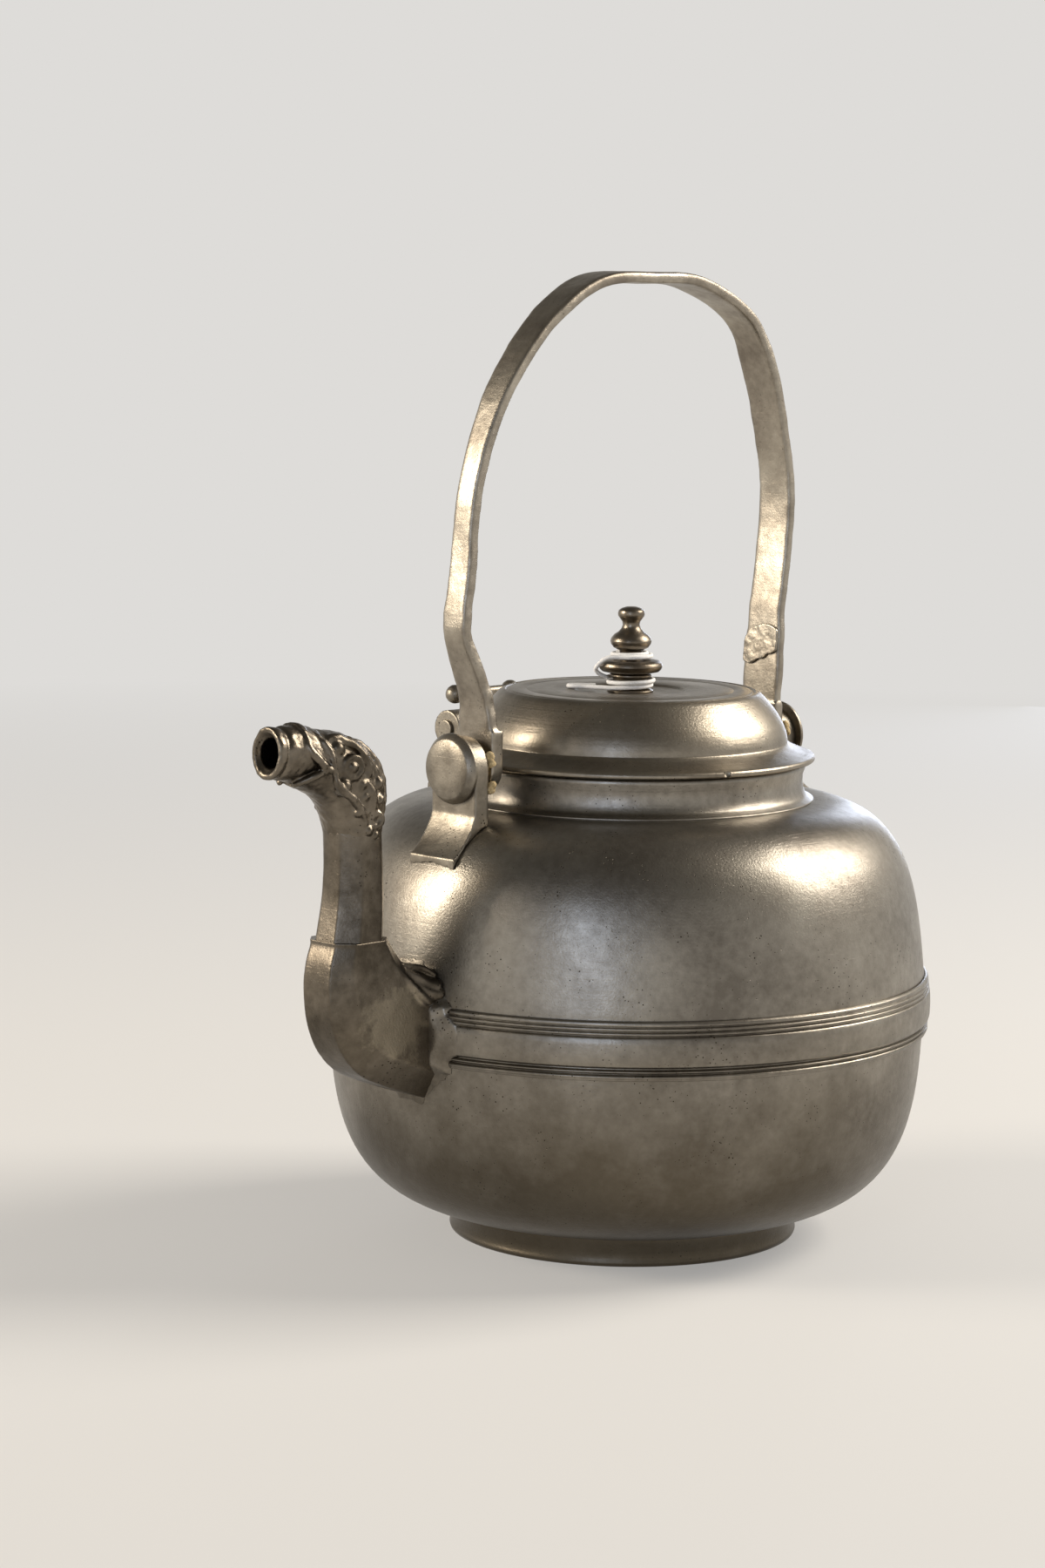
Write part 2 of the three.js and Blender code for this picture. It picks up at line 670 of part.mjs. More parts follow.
function makeHinge() {
  const axis = [hingeOut, hingeHeight];
  const half = bracketThickness / 2;
  const footEnd = hingeOut + bracketFoot;
  const ground = shoulderHeight(footEnd);
  const upright = plateAcross(polygon([
    [hingeOut - half, hingeHeight],
    [hingeOut - half, hingeHeight - 3 * knuckleRadius],
    [hingeOut - half, ground - 4],
    [footEnd, ground - 4],
    [footEnd, ground + bracketFootRise],
    [hingeOut + half + 1, ground + 2.2 * bracketFootRise],
    [hingeOut + half, hingeHeight - knuckleRadius],
    [hingeOut + half, hingeHeight],
  ]), -sideKnuckleEnd, sideKnuckleEnd);
  const room = plateAcross(polygon([
    [hingeOut - 3 * knuckleRadius, hingeHeight - knuckleRadius - seatGap],
    [hingeOut + 3 * knuckleRadius, hingeHeight - knuckleRadius - seatGap],
    [hingeOut + 3 * knuckleRadius, hingeHeight + 2 * knuckleRadius],
    [hingeOut - 3 * knuckleRadius, hingeHeight + 2 * knuckleRadius],
  ]), -sideKnuckleStart, sideKnuckleStart);
  const bore = rodAlongX(holeFor(hingePinRadius), -sideKnuckleEnd - 1, sideKnuckleEnd + 1, axis);
  const bracket = upright
    .add(rodAlongX(knuckleRadius, -sideKnuckleEnd, sideKnuckleEnd, axis))
    .subtract(room)
    .subtract(bore)
    .subtract(bodyFilled(seatGap));
  addPart('hinge_bracket', bracket, pewter, pot);
  const end = sideKnuckleEnd + hingePinHeadLength;
  const pin = turnedAlongX([
    [0, -end], [hingePinHead, -end], [hingePinHead, -sideKnuckleEnd], [hingePinRadius, -sideKnuckleEnd],
    [hingePinRadius, sideKnuckleEnd], [hingePinHead, sideKnuckleEnd], [hingePinHead, end], [0, end],
  ], axis);
  addPart('hinge_pin', pin, pewter, pot);
}

function makeHingeTab() {
  const above = hingeHeight - lidSeat;
  const padTop = above + knuckleRadius + 0.3;
  const tabEnd = flangeRadius - tabReach;
  const halfWidth = centreKnuckle / 2;
  const tab = plateAcross(polygon([
    [tabEnd, 0.3], [flangeRadius, 0.3], [hingeOut, above - 2], [hingeOut, above + tabRise], [tabEnd, above + tabRise],
  ]), -halfWidth, halfWidth);
  const pad = plateAcross(polygon([
    [hingeOut - padHalfDepth, above], [hingeOut + padHalfDepth, above],
    [hingeOut + padHalfDepth, padTop], [hingeOut - padHalfDepth, padTop],
  ]), -padWidth / 2, padWidth / 2);
  const envelope = turned([
    [0, -seatGap], ...offsetLeft(lidOutline, -seatGap), [0, lidHeight + seatGap],
  ]);
  const knuckle = rodAlongX(knuckleRadius, -halfWidth, halfWidth, [hingeOut, above]);
  const bore = rodAlongX(holeFor(hingePinRadius), -centreKnuckle, centreKnuckle, [hingeOut, above]);
  const solid = tab.subtract(envelope).add(knuckle).add(pad).subtract(bore);
  addPart('hinge_tab', solid, pewter, lid);

  const barHeight = above + thumbRise;
  const stem = plateAcross(polygon([
    [hingeOut - padHalfDepth + 0.4, padTop], [hingeOut + padHalfDepth - 0.4, padTop],
    [hingeOut + thumbBar, barHeight], [hingeOut - thumbBar, barHeight],
  ]), -thumbStem / 2, thumbStem / 2);
  let thumb = stem.add(rodAlongX(thumbBar, -thumbSpread, thumbSpread, [hingeOut, barHeight]));
  for (const side of [-1, 1]) {
    const ball = new THREE.SphereGeometry(thumbBall, 14, 10);
    ball.translate(side * thumbSpread, hingeOut, barHeight);
    thumb = thumb.add(toSolid(ball));
  }
  addPart('thumbpiece', thumb, pewter, lid);
}

// An ear: a plate with a round top whose foot curves out over the shoulder. Side -1 is the
// front, 1 the rear.
function makeEar(name, side, face, back, radius) {
  const footEnd = back + earFootReach;
  const footTop = shoulderHeight(footEnd) + earFootThickness;
  const bend = shoulderHeight(back) + earFootRise;
  const low = footTop - 12;
  const profile = new THREE.Shape();
  profile.moveTo(side * face, pivotHeight + radius);
  profile.lineTo(side * back, pivotHeight + radius);
  profile.lineTo(side * back, bend);
  profile.quadraticCurveTo(side * (back + 0.3 * earFootReach), 0.4 * bend + 0.6 * footTop, side * footEnd, footTop);
  profile.lineTo(side * footEnd, low);
  profile.lineTo(side * face, low);
  profile.closePath();
  const front = new THREE.Shape();
  front.moveTo(-radius, low);
  front.lineTo(radius, low);
  front.lineTo(radius, pivotHeight);
  front.absarc(0, pivotHeight, radius, 0, 2 * quarterTurn);
  front.closePath();
  const [from, to] = side < 0 ? [-footEnd, -face] : [face, footEnd];
  const hole = rodAlongX(holeFor(pinRadius), from - 1, to + 1, [0, pivotHeight]);
  const ear = plateAlong(profile, radius).intersect(plateAcross(front, from, to));
  addPart(name, ear.subtract(bodyFilled(seatGap)).subtract(hole), pewter, pot);
}

// A pin with a broad bevelled head outside its ear and a peened end inside the bail's tongue
function makePin(name, side, tongueFace, back) {
  const inner = tongueFace - slideGap;
  const profile = [
    [0, inner - pinRivetHeight],
    [pinRivet - 0.4, inner - pinRivetHeight],
    [pinRivet, inner],
    [pinRadius, inner],
    [pinRadius, back],
    [pinHeadBase, back],
    [pinHeadBase, back + 0.25 * pinHeadHeight],
    [pinHeadFace, back + pinHeadHeight],
    [0, back + pinHeadHeight],
  ];
  const mirrored = profile.map(([radius, along]) => [radius, -along]).reverse();
  addPart(name, turnedAlongX(side < 0 ? mirrored : profile, [0, pivotHeight]), pewter, pot);
}

function makePacking(name, side, from, thickness) {
  const hole = holeFor(pinRadius);
  const to = from + thickness;
  const [low, high] = side < 0 ? [-to, -from] : [from, to];
  const profile = [[hole, low], [packingRadius, low], [packingRadius, high], [hole, high]];
  addPart(name, turnedAlongX(profile, [0, pivotHeight]), fibre, pot);
}

function makeEars() {
  makeEar('front_ear', -1, frontEarFace, frontEarBack, frontEarRadius);
  makeEar('rear_ear', 1, rearEarFace, rearEarBack, rearEarRadius);
  makePin('front_pin', -1, bailFront, frontEarBack);
  makePin('rear_pin', 1, bailRear, rearEarBack);
  makePacking('front_packing', -1, bailFront + frontTongue + slideGap, frontPacking);
  makePacking('rear_packing', 1, bailRear + rearTongue + slideGap, rearPacking);
}

// The strap's middle line and, in a second curve, its width and thickness at the same stations
const frontMiddle = bailFront + frontTongue / 2;
const rearMiddle = bailRear + rearTongue / 2;
const strapRows = [
  ...frontLeg.map(([out, up, width]) => [-frontMiddle - out, up, width]),
  ...crown,
  ...rearLeg.map(([out, up, width]) => [rearMiddle + out, up, width]),
];
const strapLine = new THREE.CatmullRomCurve3(strapRows.map(([x, z]) => new THREE.Vector3(x, 0, z)));
const strapSizes = new THREE.CatmullRomCurve3(strapRows.map(([, , width], i) => (
  new THREE.Vector3(width, THREE.MathUtils.lerp(frontStrap, rearStrap, i / (strapRows.length - 1)), 0)
)));

// One section of the strap, or of a layer that starts below the strap's inner face
function strapSection(share, layer) {
  const along = strapLine.getTangent(share);
  const outward = new THREE.Vector3(-along.z, 0, along.x);
  const across = along.clone().cross(outward);
  const size = strapSizes.getPoint(share);
  const half = layer ? layer.thickness / 2 : size.y / 2;
  const middle = strapLine.getPoint(share);
  if (layer) middle.addScaledVector(outward, -size.y / 2 - slideGap - half);
  const wide = size.x / 2 - (layer ? layer.inset : 0);
  const edge = layer ? 0.2 : strapEdge;
  const corners = [
    [half, edge - wide], [half, wide - edge], [half - edge, wide], [edge - half, wide],
    [-half, wide - edge], [-half, edge - wide], [edge - half, -wide], [half - edge, -wide],
  ];
  return corners.map(([out, side]) => (
    middle.clone().addScaledVector(outward, out).addScaledVector(across, side)
  ));
}

// Where on the strap the rear leg reaches a height
function rearStation(height) {
  let [low, high] = [0.6, 1];
  for (let i = 0; i < 30; i += 1) {
    const middle = (low + high) / 2;
    if (strapLine.getPoint(middle).z > height) low = middle;
    else high = middle;
  }
  return low;
}

function makeTongue(side, face, thickness) {
  const shape = new THREE.Shape();
  shape.moveTo(tongueRadius, tongueRise);
  shape.lineTo(-tongueRadius, tongueRise);
  shape.lineTo(-tongueRadius, 0);
  shape.absarc(0, 0, tongueRadius, 2 * quarterTurn, 4 * quarterTurn);
  shape.closePath();
  return side < 0
    ? plateAcross(shape, -face - thickness, -face)
    : plateAcross(shape, face, face + thickness);
}

function makeBail() {
  const rings = [];
  for (let i = 0; i <= strapRings; i += 1) rings.push(strapSection(i / strapRings));
  const strap = loft(rings)
    .add(makeTongue(-1, bailFront, frontTongue))
    .add(makeTongue(1, bailRear, rearTongue))
    .subtract(rodAlongX(holeFor(pinRadius), -2 * bailFront, 2 * bailRear, [0, 0]));
  addPart('bail_strap', strap, strapMetal, bail);
  const layer = { thickness: patchThickness, inset: patchInset };
  const from = rearStation(patchLow + patchLength);
  const to = rearStation(patchLow);
  const patch = [0, 0.25, 0.5, 0.75, 1].map((share) => strapSection(THREE.MathUtils.lerp(from, to, share), layer));
  addPart('bail_patch', loft(patch), strapMetal, bail);
}

// A point of the spout from its distance out of the wall and its height above the seam
function spoutPoint(out, up, y = 0) {
  return new THREE.Vector3(-bodyRadius - out, y, seamHeight + up);
}

// The spout's faceted foot as a solid, or its inside when inset by the wall
function footLoft(inset) {
  const last = footOuter.length - 1;
  const rings = footOuter.map((outer, i) => {
    const share = i / last;
    const start = spoutPoint(...outer);
    const across = spoutPoint(...footInner[i]).sub(start);
    const depth = across.length() - 2 * inset;
    across.normalize();
    start.addScaledVector(across, inset);
    const wide = THREE.MathUtils.lerp(rootHalfWidth, jointHalfWidth, share) - inset;
    const flat = THREE.MathUtils.lerp(rootFacet, jointFacet, share) * (wide / (wide + inset));
    const cut = THREE.MathUtils.lerp(rootChamfer, jointChamfer, share ** 3) - 0.4 * inset;
    const section = [
      [0, flat], [0, -flat], [cut, -wide], [depth - cut, -wide],
      [depth, -flat], [depth, flat], [depth - cut, wide], [cut, wide],
    ];
    return section.map(([along, side]) => start.clone().addScaledVector(across, along).setY(side));
  });
  if (inset > 0) rings.push(rings[last].map((point) => point.clone().setZ(point.z + 1)));
  return loft(rings);
}

function neckRing(out, up, radius) {
  const corner = radius / Math.cos(quarterTurn / 4);
  const ring = [];
  for (let i = 0; i < 8; i += 1) {
    const angle = (i + 0.5) * (quarterTurn / 2);
    ring.push(spoutPoint(out + corner * Math.cos(angle), up, -corner * Math.sin(angle)));
  }
  return ring;
}

function neckLoft(shrink, overlap) {
  const rings = [];
  for (let i = 0; i <= neckRings; i += 1) {
    const share = i / neckRings;
    const up = THREE.MathUtils.lerp(jointHeight - overlap, neckTop + overlap, share);
    const out = THREE.MathUtils.lerp(neckLowOut, neckHighOut, share) - neckBow * Math.sin(share * Math.PI);
    const half = THREE.MathUtils.lerp(neckLow, neckHigh, share) - neckWaist * Math.sin(share * Math.PI);
    rings.push(neckRing(out, up, half - shrink));
  }
  return loft(rings);
}

// An oval ring of the head between its throat and its crest
function headRing([throatOut, throatUp, crestOut, crestUp], tall, wide, sides) {
  const throat = spoutPoint(neckHighOut + throatOut, neckTop + throatUp);
  const crest = spoutPoint(neckHighOut + crestOut, neckTop + crestUp);
  const middle = throat.clone().lerp(crest, 0.5);
  const up = crest.sub(throat).normalize();
  const ring = [];
  for (let i = 0; i < sides; i += 1) {
    const angle = (i / sides) * 4 * quarterTurn;
    ring.push(middle.clone().addScaledVector(up, -tall * Math.cos(angle)).setY(-wide * Math.sin(angle)));
  }
  return ring;
}

function headHeight([throatOut, throatUp, crestOut, crestUp]) {
  return Math.hypot(crestOut - throatOut, crestUp - throatUp) / 2;
}

// The skull and the open jaws, out of which the snout comes
function makeSkull() {
  const rings = head.slice(0, jawRows).map((row, i) => {
    const proud = jawProud * Math.min(i / 2, 1);
    return headRing(row, headHeight(row) + proud, row[4] + proud, 20);
  });
  const gape = polygon(jaws.map(([out, up]) => [-bodyRadius - neckHighOut - out, seamHeight + neckTop + up]));
  let skull = loft(rings).subtract(plateAlong(gape, bodyRadius));
  for (const [out, up, spread, radius] of bosses) {
    for (const side of spread > 0 ? [-spread, spread] : [0]) {
      const boss = new THREE.SphereGeometry(radius, 10, 6);
      boss.translate(...spoutPoint(neckHighOut + out, neckTop + up, side));
      skull = skull.add(toSolid(boss));
    }
  }
  return skull;
}

function makeHead() {
  const snout = loft(head.map((row) => headRing(row, headHeight(row), row[4], 20)));
  const last = head.length - 1;
  const passage = head.map((row, i) => {
    const bore = THREE.MathUtils.lerp(spoutBore, headBore, i / last);
    if (i < last) return headRing(row, bore, bore, 12);
    return headRing(row, headHeight(row) - mouthLip, row[4] - mouthLip, 12);
  });
  const below = passage[0].map((point) => point.clone().setZ(point.z - 1));
  const beyond = passage[last].map((point) => point.clone().setX(point.x - 2));
  const serpent = snout.add(makeSkull()).subtract(loft([below, ...passage, beyond]));
  addPart('spout_head', serpent, dullPewter, pot);
}

function makeSpout() {
  const flowHole = rodAlongX(flowRadius, -2 * bodyRadius, 0, [0, flowHeight]);
  const seat = bodyFilled(seatGap + beltThickness)
    .subtract(bodyFilled(seatGap))
    .intersect(seatRoom(0))
    .subtract(flowHole);
  addPart('spout_seat', seat, dullPewter, pot);
  const foot = footLoft(0).subtract(footLoft(spoutWall)).subtract(bodyFilled(2 * seatGap + beltThickness));
  addPart('spout_foot', foot, pewter, pot);
  addPart('spout_neck', neckLoft(0, 0).subtract(neckLoft(neckHigh - spoutBore, 1)), pewter, pot);
  makeHead();
}

makeBody();
makeFoot();
makeBelt();
makeCollar();
makeLid();
makeKnob();
makeString();
makeHinge();
makeHingeTab();
makeEars();
makeBail();
makeSpout();

// The middle of the pot's whole length, from the mouth to the belt, is put over the origin.
const mouthReach = bodyRadius + neckHighOut + head[head.length - 1][0];
pot.position.x = (mouthReach - beltRadius) / 2;

export default pot;
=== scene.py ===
import math

import bpy
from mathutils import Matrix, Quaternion, Vector, noise


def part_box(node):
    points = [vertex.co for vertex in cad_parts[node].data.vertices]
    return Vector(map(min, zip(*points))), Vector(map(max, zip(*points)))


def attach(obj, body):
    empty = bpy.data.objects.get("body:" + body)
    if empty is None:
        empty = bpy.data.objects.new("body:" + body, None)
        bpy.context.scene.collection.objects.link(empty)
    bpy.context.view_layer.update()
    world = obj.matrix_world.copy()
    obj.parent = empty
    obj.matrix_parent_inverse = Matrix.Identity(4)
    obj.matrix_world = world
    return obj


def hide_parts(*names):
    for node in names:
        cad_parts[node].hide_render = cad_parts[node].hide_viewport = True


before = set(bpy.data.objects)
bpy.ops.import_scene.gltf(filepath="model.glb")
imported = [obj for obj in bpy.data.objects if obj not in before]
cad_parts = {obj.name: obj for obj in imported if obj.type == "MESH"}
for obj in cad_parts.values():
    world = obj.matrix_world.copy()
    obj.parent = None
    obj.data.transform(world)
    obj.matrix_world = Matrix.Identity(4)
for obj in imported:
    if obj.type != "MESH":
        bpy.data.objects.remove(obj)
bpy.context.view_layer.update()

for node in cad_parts.values():
    node.select_set(False)

# Camera: the photograph's view, fitted to the round edges of the pot. It stands a metre off to the
# spout's front side, a little above the lid, and looks slightly down.
look = Vector((0.69508, 0.70726, -0.12929)).to_track_quat("-Z", "Y")
look = look @ Quaternion((0, 0, 1), math.radians(0.6817))
bpy.ops.object.camera_add(location=(-0.74025, -0.73559, 0.2632), rotation=look.to_euler())
camera = bpy.context.object
camera.data.sensor_width = 36
camera.data.lens = 88.21
bpy.context.scene.camera = camera

# String: a length of white cotton, tied on the knob as a tag would be. It starts as a bight that
# lies out over the lid, winds round the lower stem, climbs past the disc and ends round the upper
# stem.
MM = 0.001  # sizes below are in millimetres
AXIS = 0.02415  # where the pot's axis stands along X, in metres
LID_DISH = 151.3  # height of the dish round the knob
STRING_RADIUS = 0.6
BIGHT_BEARING = 0.75 * math.pi
BIGHT_LENGTH, BIGHT_WIDTH, BIGHT_HEIGHT = 17.2, 1.2, 1.35
WINDING_STEPS, STEPS_PER_TURN = 43, 24


def string_point(radius, turn, height):
    """A point round the knob, by its turn from the bight and its height over the dish."""
    angle = BIGHT_BEARING + turn
    return Vector((AXIS + radius * math.cos(angle) * MM, radius * math.sin(angle) * MM,
                   (LID_DISH + height) * MM))


def string_lying(distance, side):
    """A point of the bight on the lid."""
    return string_point(math.hypot(distance, side), math.atan2(side, distance), BIGHT_HEIGHT)


def string_winding(radius, outward, turn, height, climb):
    """Nearly two turns round a stem, that move outward and climb a little with each turn."""
    turns = [step / STEPS_PER_TURN for step in range(WINDING_STEPS)]
    return [string_point(radius + outward * t, turn + math.tau * t, height + climb * t) for t in turns]


string_route = [string_lying(BIGHT_LENGTH * d, BIGHT_WIDTH * s) for d, s in (
    (0.56, -1.4), (0.78, -1.3), (0.95, -1), (1, 0), (0.95, 1), (0.75, 1.6), (0.5, 3.1), (0.25, 4.4))]
string_route += string_winding(5.65, 0.6, math.pi / 2, 1.55, 1.3)
string_route += [string_point(*spot) for spot in ((9.9, 0.25, 5.9), (10, 0.42, 7.5), (8.45, 0.7, 9.65))]
string_route += string_winding(6.0375, -1.25, 1.2, 9.85, 0.6)


def round_line(name, radius, roundness, spots):
    """A round cord or rod on a smooth line through spots."""
    curve = bpy.data.curves.new(name, "CURVE")
    curve.dimensions = "3D"
    curve.bevel_depth = radius
    curve.bevel_resolution = roundness
    curve.use_fill_caps = True
    line = curve.splines.new("BEZIER")
    line.bezier_points.add(len(spots) - 1)
    for knot, spot in zip(line.bezier_points, spots):
        knot.co = spot
        knot.handle_left_type = "AUTO"
        knot.handle_right_type = "AUTO"
    piece = bpy.data.objects.new(name, curve)
    bpy.context.collection.objects.link(piece)
    return piece


tied_string = round_line("tied_string", STRING_RADIUS * MM, 4, string_route)
tied_string.data.resolution_u = 4


def finish_piece(piece, material, body, slot, *nodes):
    """Gives a piece its material and body, and hides the CAD nodes that it stands for."""
    piece.data.materials.clear()
    piece.data.materials.append(material)
    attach(piece, body)
    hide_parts(*nodes)


def linear(hex_colour):
    """An sRGB hex colour as the linear RGBA that a shader takes."""
    parts = [int(hex_colour[i:i + 2], 16) / 255 for i in (1, 3, 5)]
    return [c / 12.92 if c <= 0.04045 else ((c + 0.055) / 1.055) ** 2.4 for c in parts] + [1]


def add_node(material, kind, inputs=None, **settings):
    """Adds a shader node, sets its properties, and fills or links its inputs by name or number.
    A node given as an input stands for its first output."""
    node = material.node_tree.nodes.new("ShaderNode" + kind)
    for key, value in settings.items():
        setattr(node, key, value)
    for key, value in (inputs or {}).items():
        if isinstance(value, bpy.types.Node):
            value = value.outputs[0]
        if isinstance(value, bpy.types.NodeSocket):
            material.node_tree.links.new(value, node.inputs[key])
        else:
            node.inputs[key].default_value = value
    return node


def new_material(name):
    """A new material and its main shader."""
    material = bpy.data.materials.new(name)
    material.use_nodes = True
    return material, material.node_tree.nodes["Principled BSDF"]


# Twisted cotton: matte white with faint grey in the twist, which turns every 0.4 mm, and no gloss.
cotton, shader = new_material("white twisted cotton")
place = add_node(cotton, "TexCoord").outputs["Object"]
twist = add_node(cotton, "TexNoise", {"Vector": place, "Scale": 2400, "Detail": 2})
shade = add_node(cotton, "Mix", {0: twist, 6: linear("#e2dfd9"), 7: linear("#ffffff")}, data_type="RGBA")
relief = add_node(cotton, "Bump", {"Height": twist, "Strength": 0.4, "Distance": 0.00015})
cotton.node_tree.links.new(shade.outputs[2], shader.inputs["Base Color"])
cotton.node_tree.links.new(relief.outputs[0], shader.inputs["Normal"])
shader.inputs["Roughness"].default_value = 0.95
finish_piece(tied_string, cotton, "lid", "cotton", "knob_string")


# Body, lower half: cast pewter, turned on a lathe outside and in. It is spun here from the outline
# of its wall, flat underneath where the foot ring is soldered on.
def bend(start, start_handle, end, end_handle, steps):
    """Points in millimetres along a curve between two ends that is drawn by its handles."""
    corners = [Vector(start), Vector(start) + Vector(start_handle), Vector(end) + Vector(end_handle),
               Vector(end)]
    weights = [((1 - t) ** 3, 3 * t * (1 - t) ** 2, 3 * t * t * (1 - t), t ** 3)
               for t in (i / steps for i in range(steps + 1))]
    return [tuple(sum((c * w for c, w in zip(corners, row)), Vector((0, 0)))) for row in weights]


def inside(outline, wall):
    """The outline moved inwards by the wall, and reversed."""
    moved = []
    for i, point in enumerate(outline):
        before, after = outline[max(i - 1, 0)], outline[min(i + 1, len(outline) - 1)]
        along = Vector((after[0] - before[0], after[1] - before[1])).normalized()
        moved.append((point[0] - along.y * wall, point[1] + along.x * wall))
    return moved[::-1]


SAME_SPOT = 2e-6  # vertices this near, in metres, are merged
CREASE = math.radians(40)  # steeper edges stay sharp in the shading


def turn(name, outline, steps, angle=math.tau, pivot=None):
    """Spins an outline of (radius, height) about the pot's axis, or one of (radius, place along X)
    about a pin that lies across at the height pivot."""
    bpy.ops.object.select_all(action="DESELECT")
    bpy.ops.mesh.primitive_plane_add(size=MM)
    piece = bpy.context.object
    piece.name = name
    piece.data.name = name
    bpy.ops.object.mode_set(mode="EDIT")
    bpy.ops.mesh.merge(type="CENTER")
    if pivot is None:
        spots = [Vector((AXIS + r * MM, 0, h * MM)) for r, h in outline]
        centre, axis = (AXIS, 0, 0), (0, 0, 1)
    else:
        spots = [Vector((AXIS + x * MM, 0, (pivot + r) * MM)) for r, x in outline]
        centre, axis = (0, 0, pivot * MM), (1, 0, 0)
    bpy.ops.transform.translate(value=spots[0])
    for here, there in zip(spots, spots[1:]):
        bpy.ops.mesh.extrude_region_move(TRANSFORM_OT_translate={"value": there - here})
    bpy.ops.mesh.select_all(action="SELECT")
    bpy.ops.mesh.spin(steps=steps, angle=angle, center=centre, axis=axis)
    bpy.ops.mesh.select_all(action="SELECT")
    bpy.ops.mesh.remove_doubles(threshold=SAME_SPOT)
    if angle < math.tau:
        bpy.ops.mesh.select_non_manifold(extend=False)
        bpy.ops.mesh.edge_face_add()
        bpy.ops.mesh.select_all(action="SELECT")
    bpy.ops.mesh.normals_make_consistent(inside=False)
    bpy.ops.object.mode_set(mode="OBJECT")
    return piece


def soften(piece, width=0.25, segments=2):
    """Rounds the sharp edges of a piece and shades it smooth."""
    bpy.context.view_layer.objects.active = piece
    bevel = piece.modifiers.new("worn edges", "BEVEL")
    bevel.width = width * MM
    bevel.segments = segments
    bevel.limit_method = "ANGLE"
    bevel.angle_limit = math.radians(30)
    bevel.use_clamp_overlap = True
    bpy.ops.object.select_all(action="DESELECT")
    piece.select_set(True)
    bpy.ops.object.modifier_apply(modifier=bevel.name)
    bpy.ops.object.shade_smooth_by_angle(angle=CREASE)
